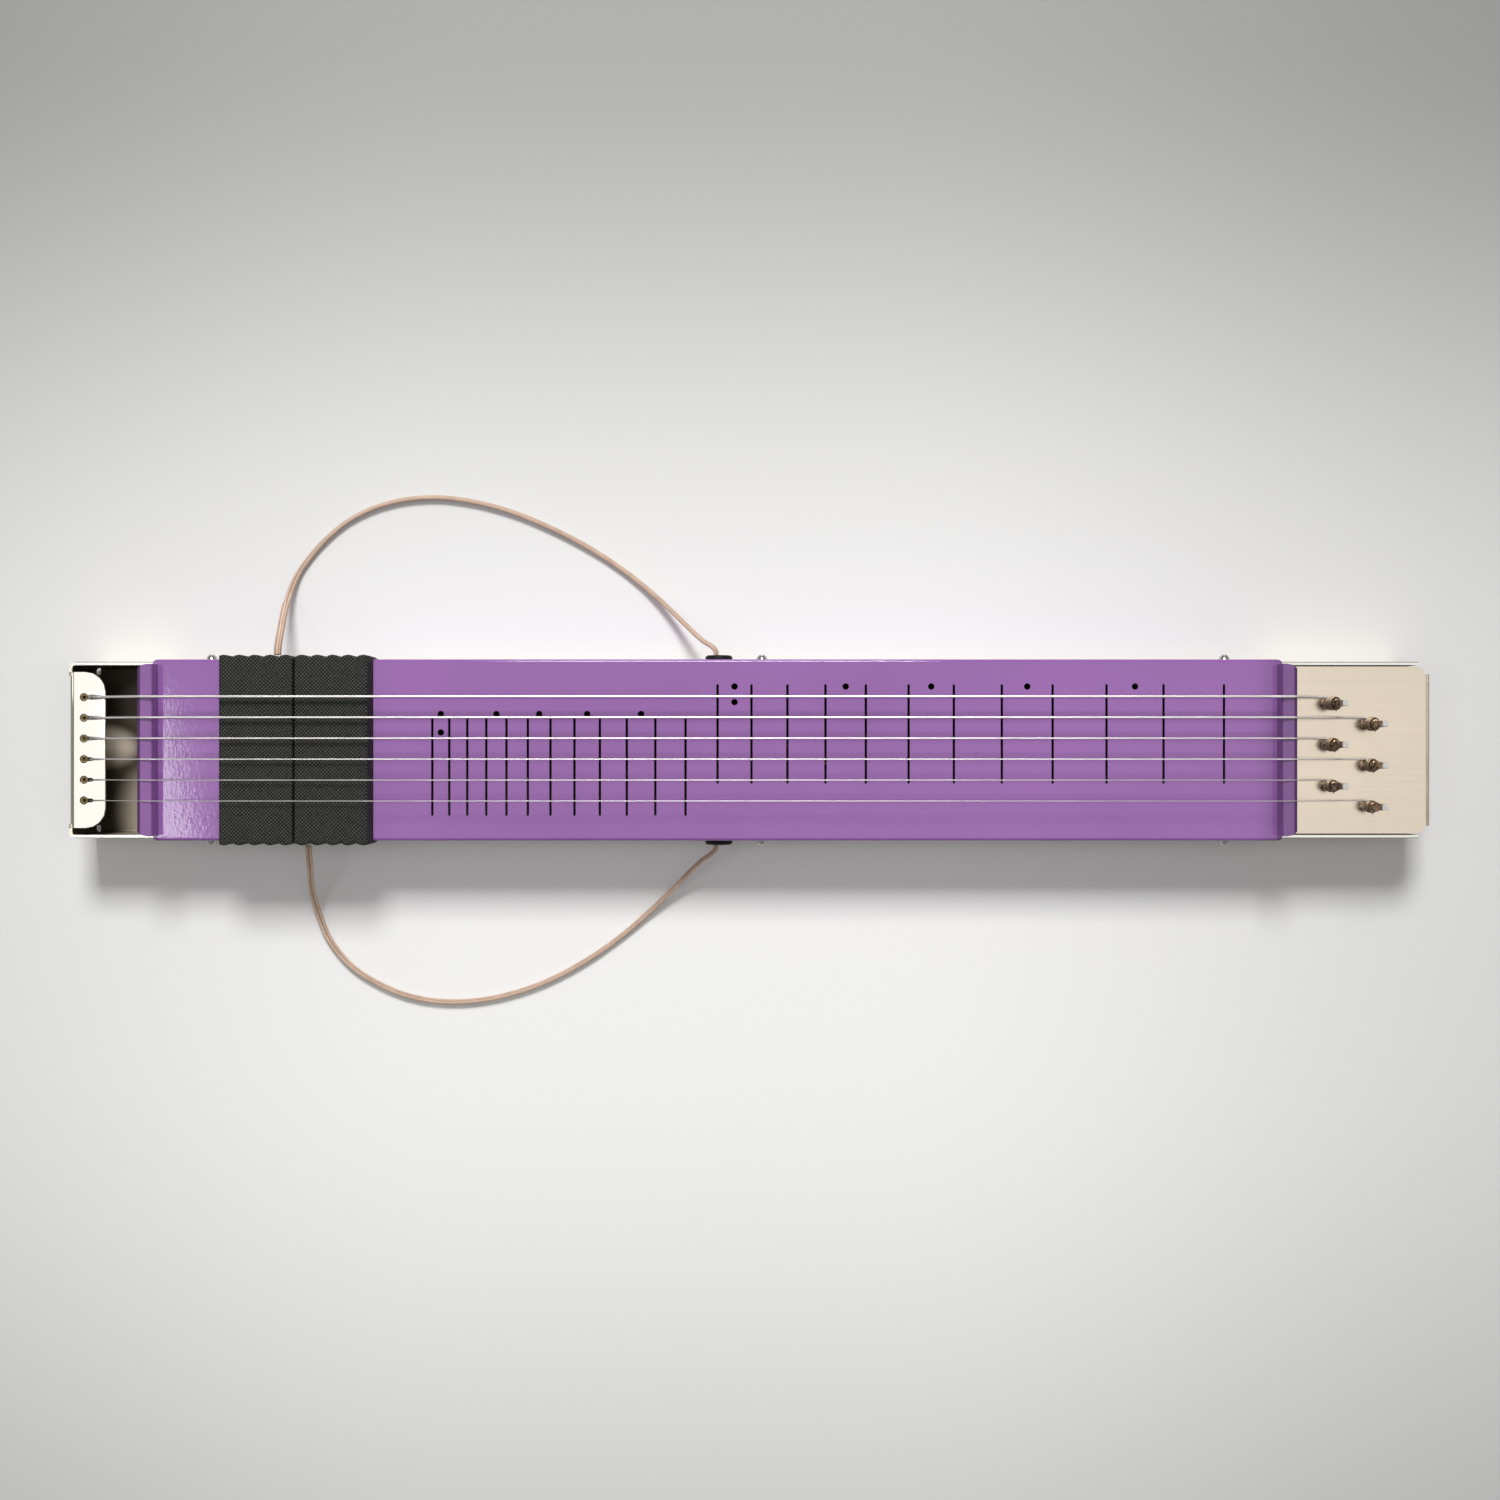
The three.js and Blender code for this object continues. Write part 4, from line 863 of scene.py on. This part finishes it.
class LAPSTEEL_OT_studio(bpy.types.Operator):
    """Camera straight above, pale floor and soft lights"""

    bl_idname = "lapsteel.studio"
    bl_label = "Studio"

    def execute(self, context):
        settings = context.scene.lapsteel_studio
        above = settings.camera_height - DECK_TOP
        lens = bpy.data.cameras.new("overhead_camera")
        lens.angle = 2 * math.atan(settings.field_width / 2 / above)
        lens.clip_start = CLIP_START
        camera = bpy.data.objects.new("overhead_camera", lens)
        camera.location = (0, 0, settings.camera_height)
        context.scene.collection.objects.link(camera)
        context.scene.camera = camera

        rest()
        bpy.ops.mesh.primitive_grid_add(x_subdivisions=2, y_subdivisions=2, size=FLOOR_SIZE, location=MIDDLE)
        floor = context.object
        floor.name = "studio_floor"
        floor.data.materials.append(floor_finish(settings))

        world = bpy.data.worlds.new("studio_sky")
        world.use_nodes = True
        sky = world.node_tree.nodes["Background"]
        sky.inputs["Color"].default_value = (*SKY_TINT, 1)
        sky.inputs["Strength"].default_value = settings.sky_strength
        context.scene.world = world

        key_size = (settings.key_size, settings.key_size)
        self.softbox("key_light", KEY_PLACE, key_size, settings.key_power, aim=MIDDLE)
        self.softbox("ceiling_light", CEILING_PLACE, CEILING_SIZE, settings.ceiling_power)
        self.softbox("tail_panel", PANEL_PLACE, PANEL_SIZE, settings.panel_power, turn=PANEL_TURN)
        for name, place in SIDE_PLACES.items():
            self.softbox(name, place, SIDE_SIZE, settings.side_power, aim=MIDDLE)
        context.scene.view_settings.view_transform = "Standard"
        return {"FINISHED"}

    @staticmethod
    def softbox(name, place, size, power, aim=None, turn=0.0):
        """A softbox that faces straight down, or the point that it is aimed at"""
        light = bpy.data.lights.new(name, "AREA")
        light.shape = "RECTANGLE"
        light.size, light.size_y = size
        light.energy = power
        lamp = bpy.data.objects.new(name, light)
        ahead = Vector(aim) - Vector(place) if aim else DOWN
        facing = ahead.to_track_quat("-Z", "Y").to_matrix().to_4x4()
        lamp.matrix_world = Matrix.Translation(place) @ Matrix.Rotation(turn, 4, "Z") @ facing
        bpy.context.scene.collection.objects.link(lamp)


class LAPSTEEL_OT_leads(bpy.types.Operator):
    """Two braided leads of two strands, and the sleeve on the upper one"""

    bl_idname = "lapsteel.leads"
    bl_label = "Leads"

    def execute(self, context):
        settings = context.scene.lapsteel_leads
        braid = braid_finish(settings)
        for pickup, side, route, slope in (
            (1, "upper", UPPER_LEAD_ROUTE, 0.0),
            (2, "lower", LOWER_LEAD_ROUTE, settings.fold),
        ):
            points = smooth_route(route, ROUTE_STEPS)
            half = settings.strand / 2
            lead = wire(
                f"{side}_braided_lead", points, half, LEAD_SIDES, UP, strands=(-half, half), lean=self.lean
            )
            dress(lead, braid)
            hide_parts(f"{side}_lead")
            pieces = [lead]
            if side == "upper":
                covered = first_share(points, SLEEVE_SHARE)
                sleeve = wire("upper_lead_braided_sleeve", covered, settings.sleeve / 2, SLEEVE_SIDES, UP)
                dress(sleeve, braid)
                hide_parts("upper_lead_sleeve")
                pieces.append(sleeve)
            last = points[0] + Vector((1, slope, 0)) * ((points[-1].x - points[0].x) / (1 + slope * slope))
            for piece in pieces:
                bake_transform(piece)
            run_of(points)
        return {"FINISHED"}

    @staticmethod
    def lean(share):
        """The strands lie side by side at the housing and roll over towards the table"""
        rise = min(1.0, max(0.0, (share - LEAN_START_SHARE) / LEAN_SHARE))
        return LEAN * rise * rise * (3 - 2 * rise)


class LAPSTEEL_OT_sheets(bpy.types.Operator):
    """Plated tray and coated deck cover, with rounded edges and smooth bends"""

    bl_idname = "lapsteel.sheets"
    bl_label = "Tray and Cover"

    def execute(self, context):
        settings = context.scene.lapsteel_sheets
        holes = [box_middle(node).x for node in HOLE_FILLERS]
        tray = dressed_copy("tray", "plated_tray", settings.edge, cuts=[*holes, KEYHOLE_X])
        dress(tray, nickel_finish(settings))
        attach(tray, "root")
        slots = [fret_place(fret) for fret in FRETS]
        dots = [
            (fret_place(fret - 1) + fret_place(fret)) / 2
            for fret in FRETS if fret % OCTAVE in DOTTED_FRETS
        ]
        cuts = [*holes, *slots, *dots]
        cover = dressed_copy("deck_cover", "coated_cover", settings.coat_edge, 3, cuts=cuts)
        dress(cover, coat_finish(settings))
        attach(cover, "root")
        return {"FINISHED"}


class LAPSTEEL_OT_pickups(bpy.types.Operator):
    """Two fluted housings with a moulded knurl, and the coil parts inside them"""

    bl_idname = "lapsteel.pickups"
    bl_label = "Pickups"

    def execute(self, context):
        settings = context.scene.lapsteel_pickups
        shell = shell_finish(settings)
        copper = metal_finish("copper_wire", (0.55, 0.20, 0.08), 0.3)
        magnet = metal_finish("magnet_steel", (0.12, 0.12, 0.125), 0.5)
        board = board_finish()
        for number in PICKUPS:
            housing = dressed_copy(f"pickup_housing_{number}", f"knurled_housing_{number}", 0)
            self.deepen_flutes(housing, settings.flute / FLUTE_DEPTH)
            self.soften_top(housing, settings.crest)
            dress(housing, shell)
            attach(housing, f"pickup_{number}")
            paint([f"pickup_winding_{number}"], copper)
            paint([f"pickup_magnet_{number}"], magnet)
            paint([f"pickup_bobbin_{number}"], board)
        paint(["jack_wafer"], board)
        return {"FINISHED"}

    @staticmethod
    def deepen_flutes(housing, share):
        """Sets the hollows between the flutes further in, within the wall of the flanks"""
        outside = max(corner.co.y for corner in housing.data.vertices)
        for corner in housing.data.vertices:
            inside = outside - abs(corner.co.y)
            if inside < FLUTE_DEPTH + FIT / 2:
                corner.co.y = math.copysign(outside - inside * share, corner.co.y)

    @staticmethod
    def soften_top(housing, radius):
        """Lowers the top and raises it again ring by ring along a quarter round"""
        pick(housing)
        bpy.ops.object.mode_set(mode="EDIT")
        bpy.ops.mesh.select_mode(type="FACE")
        bpy.ops.mesh.select_all(action="DESELECT")
        bpy.ops.object.mode_set(mode="OBJECT")
        mesh = housing.data
        top = max(corner.co.z for corner in mesh.vertices)
        for face in mesh.polygons:
            face.select = face.normal.z > FACES_UP and face.center.z > top - LEVEL
        raised = {k for face in mesh.polygons if face.select for k in face.vertices}
        places = [mesh.vertices[k].co for k in raised]
        start = min(place.x for place in places)
        end = max(place.x for place in places)
        for place in places:
            place.z -= radius
        before = 0.0
        for k in range(1, CREST_RINGS + 1):
            turn = QUARTER_TURN * k / CREST_RINGS
            inset = radius * (1 - math.cos(turn))
            bpy.ops.object.mode_set(mode="EDIT")
            bpy.ops.mesh.extrude_region_move()
            bpy.ops.object.mode_set(mode="OBJECT")
            for corner in mesh.vertices:
                if corner.select:
                    corner.co.x = min(max(corner.co.x, start + inset), end - inset)
                    corner.co.y -= math.copysign(inset - before, corner.co.y)
                    corner.co.z = top - radius + radius * math.sin(turn)
            before = inset
        tidied(housing, flat=0)
        smoothed(housing, 50)


class LAPSTEEL_OT_strings(bpy.types.Operator):
    """Six strings over both crowns, with their ball ends and twists"""

    bl_idname = "lapsteel.strings"
    bl_label = "Strings"

    def execute(self, context):
        settings = context.scene.lapsteel_wires
        dim_steel = shaded(settings.steel, 0.78)
        wound = wire_finish("wound_steel", settings.steel, 0.25, wrap=0.00042, depth=0.00003, metallic=0.7)
        plain = wire_finish("plain_steel", dim_steel, 0.25, wrap=0.004, depth=0.000002, metallic=0.7)
        brass = metal_finish("ball_brass", settings.brass, 0.26)
        for number in STRINGS:
            radius = GAUGES[number - 1] / 2
            y = box_middle(f"string_{number}").y
            points, widths = self.path(number, radius, y)
            string = wire(f"tuned_string_{number}", points, widths, settings.sides, ACROSS)
            join(string, self.twist(number, radius, points))
            dress(string, wound if number <= WOUND_STRINGS else plain)
            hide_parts(f"string_{number}")
            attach(string, "root")
            self.ball(number, y, brass)
        return {"FINISHED"}

    @staticmethod
    def path(number, radius, y):
        """From the ball end over the slot's end, both crowns and down to the winding"""
        gap = FIT + radius
        start = Vector((KEYHOLE_X + BALL_RADIUS + gap, y, box_middle(f"ball_end_{number}").z))
        edge = Vector((KEYHOLE_X + KEYHOLE_REACH - FIT - radius, y, PLATE_TOP + gap))
        winding = pin_frame(number) @ Vector((0, PIN_RADIUS + gap, COIL_FOOT))
        climb = math.atan2(CROWN_TOP - edge.z, BRIDGE_CROWN - edge.x)
        fall = math.atan2(CROWN_TOP - winding.z, winding.x - NUT_CROWN)

        points = [start]
        rise = (edge - start).normalized()
        leave = Vector((math.cos(climb), 0, math.sin(climb)))
        for k in range(BEND_STEPS + 1):
            share = k / BEND_STEPS
            before = (edge - rise * BEND_REACH).lerp(edge, share)
            after = edge.lerp(edge + leave * BEND_REACH, share)
            points.append(before.lerp(after, share))

        over = CROWN_BEND + gap
        on_bridge = Vector((BRIDGE_CROWN, y, CROWN_TOP - CROWN_BEND))
        on_nut = Vector((NUT_CROWN, y, CROWN_TOP - CROWN_BEND))
        bridge = bow(on_bridge, over, QUARTER_TURN + climb, QUARTER_TURN)
        points += bridge
        points += bow(on_nut, over, QUARTER_TURN, QUARTER_TURN - fall)
        widths = [radius] * len(points)

        # The last stretch runs in the line from the bridge to the winding
        last = Vector((winding.x, y, winding.z))
        way = (last - bridge[-1]).normalized()
        thin = min(radius, WINDING_RADIUS)
        for ahead, share in TAPER:
            points.append(last - way * ahead - Vector((0, (radius - thin) * share, 0)))
            widths.append(radius + (thin - radius) * share)
        return points, widths

    @staticmethod
    def twist(number, radius, points):
        """The end of the string laid back on itself in turns that draw in"""
        thread = radius * 0.62
        tail = points[:TAIL_POINTS]
        way = (points[TAIL_POINTS + 1] - points[TAIL_POINTS]).normalized()
        base = tail + [tail[-1] + way * TWIST_STRETCH * k for k in TWIST_STRETCHES]
        steps = TWIST_TURNS * TWIST_TURN_STEPS
        helix = []
        for k in range(steps + 1):
            share = k / steps
            here = first_share(base, max(share, 0.002))[-1]
            near = first_share(base, min(1.0, share + 0.02))[-1]
            ahead = (near - here).normalized() if (near - here).length > 0 else way
            up = ahead.cross(ACROSS).normalized()
            turn = FULL_TURN * TWIST_TURNS * share
            spread = (radius + thread) * (1 - 0.25 * share)
            helix.append(here + spread * (math.cos(turn) * ACROSS + math.sin(turn) * up))
        return wire(f"twist_{number}", helix, thread, 8, way)

    @staticmethod
    def ball(number, y, brass):
        low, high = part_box(f"ball_end_{number}")
        half = (high.z - low.z) / 2
        rim, waist, eye, soft = BALL_RADIUS, 0.00145, 0.00085, 0.0003
        ball = turned(f"brass_ball_{number}", [
            (eye, -half + soft), (eye + soft, -half), (rim - soft, -half), (rim, -half + soft),
            (rim, -half * 0.5), (waist, -half * 0.3), (waist, half * 0.3), (rim, half * 0.5),
            (rim, half - soft), (rim - soft, half), (eye + soft, half), (eye, half - soft),
            (eye, -half + soft),
        ], steps=28)
        smoothed(ball, 30)
        move(ball, Matrix.Translation((KEYHOLE_X, y, (low.z + high.z) / 2)))
        dress(ball, brass)
        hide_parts(f"ball_end_{number}")
        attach(ball, "root")


class LAPSTEEL_OT_pins(bpy.types.Operator):
    """Six leaning tuning pins and the string wound on each"""

    bl_idname = "lapsteel.pins"
    bl_label = "Tuning Pins"

    def execute(self, context):
        settings = context.scene.lapsteel_wires
        chrome = pin_finish(settings)
        bronze = wire_finish("bronze_coil", settings.bronze, 0.28, wrap=0.00035, depth=0.00004)
        for number in STRINGS:
            radius = GAUGES[number - 1] / 2
            eye = COIL_FOOT + COIL_TURNS * (2 * radius + COIL_GAP)
            pin = self.pin(number, eye)
            dress(pin, chrome)
            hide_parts(f"tuning_pin_{number}")
            thin = min(radius, WINDING_RADIUS)
            coil = wire(f"wound_string_{number}", self.winding(thin, eye), thin, 12, UP)
            dress(coil, bronze)
            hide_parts(f"string_coil_{number}")
            for piece in (pin, coil):
                move(piece, pin_frame(number))
                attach(piece, f"pin_{number}")
        return {"FINISHED"}

    @staticmethod
    def pin(number, eye):
        """A threaded shaft with a tapered square head and a drilled eye"""
        thread = []
        for k in range(round((THREAD_TOP - THREAD_FOOT) / THREAD_PITCH)):
            thread += [
                (PIN_RADIUS, THREAD_FOOT + (k + 0.15) * THREAD_PITCH),
                (PIN_RADIUS - THREAD_DEPTH, THREAD_FOOT + (k + 0.6) * THREAD_PITCH),
            ]
        pin = turned(f"turned_pin_{number}", [
            (0, PIN_FOOT), (PIN_TIP_RADIUS, PIN_FOOT), (PIN_RADIUS, PIN_TIP), *thread,
            (PIN_RADIUS, THREAD_TOP + THREAD_PITCH * 0.2), (PIN_RADIUS, SHOULDER),
            (SHOULDER_RADIUS, SHOULDER_TOP), (NECK_RADIUS, NECK_TOP), (0, NECK_TOP),
        ])
        rest()
        bpy.ops.mesh.primitive_cylinder_add(
            vertices=4, radius=HEAD_RADIUS, depth=HEAD_HEIGHT, location=(0, 0, HEAD_MIDDLE)
        )
        head = bpy.context.object
        bpy.ops.object.transform_apply(location=True, rotation=True, scale=True)
        move(head, Matrix.Rotation(math.radians(45), 4, "Z"))
        for corner in head.data.vertices:
            if corner.co.z > HEAD_MIDDLE:
                corner.co.x *= HEAD_TAPER
                corner.co.y *= HEAD_TAPER
        rounded(head, HEAD_ROUNDING, 2, corner=30)
        apply_modifier(pin, "BOOLEAN", operation="UNION", object=head, solver="EXACT")
        rest()
        bpy.ops.mesh.primitive_cylinder_add(
            vertices=20, radius=EYE_RADIUS, depth=DRILL_LENGTH, location=(0, 0, eye),
            rotation=(QUARTER_TURN, 0, 0),
        )
        drill = bpy.context.object
        apply_modifier(pin, "BOOLEAN", operation="DIFFERENCE", object=drill, solver="EXACT")
        bpy.data.objects.remove(head)
        bpy.data.objects.remove(drill)
        tidied(pin, flat=0)
        smoothed(pin, 32)
        return pin

    @staticmethod
    def winding(radius, eye):
        """Close turns that climb clockwise, and an end that goes through the pin's eye"""
        wide = PIN_RADIUS + FIT + radius
        turns = math.floor((eye - COIL_FOOT) / (2 * radius + TURN_GAP))
        last = turns - math.asin(LEAVE_BEFORE / wide) / FULL_TURN
        steps = TURN_STEPS * turns
        points = []
        for k in range(steps + 1):
            done = last * k / steps
            angle = QUARTER_TURN - FULL_TURN * done
            height = COIL_FOOT + done * (eye - COIL_FOOT) / turns
            points.append(Vector((wide * math.cos(angle), wide * math.sin(angle), height)))
        start = points[-1]
        leave = (points[-1] - points[-2]).normalized()
        mouth = Vector((0, PIN_RADIUS * EYE_MOUTH_SHARE, eye))
        for k in range(1, LEAVE_STEPS):
            share = k / LEAVE_STEPS
            ahead = start.lerp(start + leave * LEAVE_REACH, share)
            inwards = mouth.lerp(Vector((0, wide, eye)), 1 - share)
            points.append(ahead.lerp(inwards, share))
        points += [mouth, Vector((0, -PIN_RADIUS - LOOSE_END, eye))]
        return points


class LAPSTEEL_OT_fittings(bpy.types.Operator):
    """Screws, grommets, output socket, pin block and inner wires"""

    bl_idname = "lapsteel.fittings"
    bl_label = "Fittings"

    def execute(self, context):
        settings = context.scene.lapsteel_wires
        bright = metal_finish("screw_steel", shaded(settings.chrome, 0.75), 0.12)
        rubber = rubber_finish()
        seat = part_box("deck_cover")[1].y + FIT
        for side in ("upper", "lower"):
            for number in COVER_SCREWS:
                screw = dressed_copy(
                    f"{side}_cover_screw_{number}", f"{side}_pan_screw_{number}", SCREW_EDGE, corner=35
                )
                self.raise_head(screw, seat, settings.head)
                dress(screw, bright)
                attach(screw, "root")
            grommet = dressed_copy(
                f"{side}_grommet", f"{side}_rubber_grommet", GROMMET_EDGE, corner=50, angle=40
            )
            dress(grommet, rubber)
            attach(grommet, "root")
        plain = [(f"block_screw_{k}", f"countersunk_screw_{k}", BLOCK_SCREW_EDGE) for k in BLOCK_SCREWS]
        plain += [(f"jack_{ring}", f"socket_{ring}", SOCKET_EDGE) for ring in ("nut", "sleeve", "washer")]
        for node, name, edge in plain:
            piece = dressed_copy(node, name, edge, corner=35)
            dress(piece, bright)
            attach(piece, "root")
        paint(["jack_contact"], metal_finish("contact_brass", shaded(settings.brass, 1.8), 0.2))
        paint(["pin_block"], wood_finish())
        paint(["upper_inner_wire", "lower_inner_wire"], metal_finish("plain_braid", (0.52, 0.33, 0.22), 0.5))
        return {"FINISHED"}

    @staticmethod
    def raise_head(screw, seat, height):
        """Stretches a cover screw's head outwards from its seat on the skirt"""
        outside = max(abs(corner.co.y) for corner in screw.data.vertices)
        for corner in screw.data.vertices:
            proud = abs(corner.co.y) - seat
            if proud > 0:
                corner.co.y = math.copysign(seat + proud * height / (outside - seat), corner.co.y)


class LAPSTEEL_PT_panel(bpy.types.Panel):
    """Sizes, colours and steps of the lap steel's looks"""

    bl_idname = "LAPSTEEL_PT_panel"
    bl_label = "Lap Steel"
    bl_space_type = "VIEW_3D"
    bl_region_type = "UI"
    bl_category = "Lap Steel"

    def draw(self, context):
        for group, operators in STEPS.items():
            box = self.layout.box()
            settings = getattr(context.scene, group)
            for name in settings.__annotations__:
                box.prop(settings, name)
            for operator in operators:
                box.operator(operator.bl_idname)


GROUPS = {
    "lapsteel_studio": LapSteelStudio,
    "lapsteel_leads": LapSteelLeads,
    "lapsteel_sheets": LapSteelSheets,
    "lapsteel_pickups": LapSteelPickups,
    "lapsteel_wires": LapSteelWires,
}
STEPS = {
    "lapsteel_studio": (LAPSTEEL_OT_studio,),
    "lapsteel_leads": (LAPSTEEL_OT_leads,),
    "lapsteel_sheets": (LAPSTEEL_OT_sheets,),
    "lapsteel_pickups": (LAPSTEEL_OT_pickups,),
    "lapsteel_wires": (LAPSTEEL_OT_strings, LAPSTEEL_OT_pins, LAPSTEEL_OT_fittings),
}
CLASSES = (
    *GROUPS.values(),
    *[operator for operators in STEPS.values() for operator in operators],
    LAPSTEEL_PT_panel,
)


def register():
    for kind in CLASSES:
        bpy.utils.register_class(kind)
    for name, group in GROUPS.items():
        setattr(bpy.types.Scene, name, PointerProperty(type=group))


def unregister():
    for name in GROUPS:
        delattr(bpy.types.Scene, name)
    for kind in reversed(CLASSES):
        bpy.utils.unregister_class(kind)


def main():
    register()
    bpy.ops.lapsteel.studio()
    bpy.ops.lapsteel.leads()
    bpy.ops.lapsteel.sheets()
    bpy.ops.lapsteel.pickups()
    bpy.ops.lapsteel.strings()
    bpy.ops.lapsteel.pins()
    bpy.ops.lapsteel.fittings()
    rest()


if __name__ == "__main__":
    main()
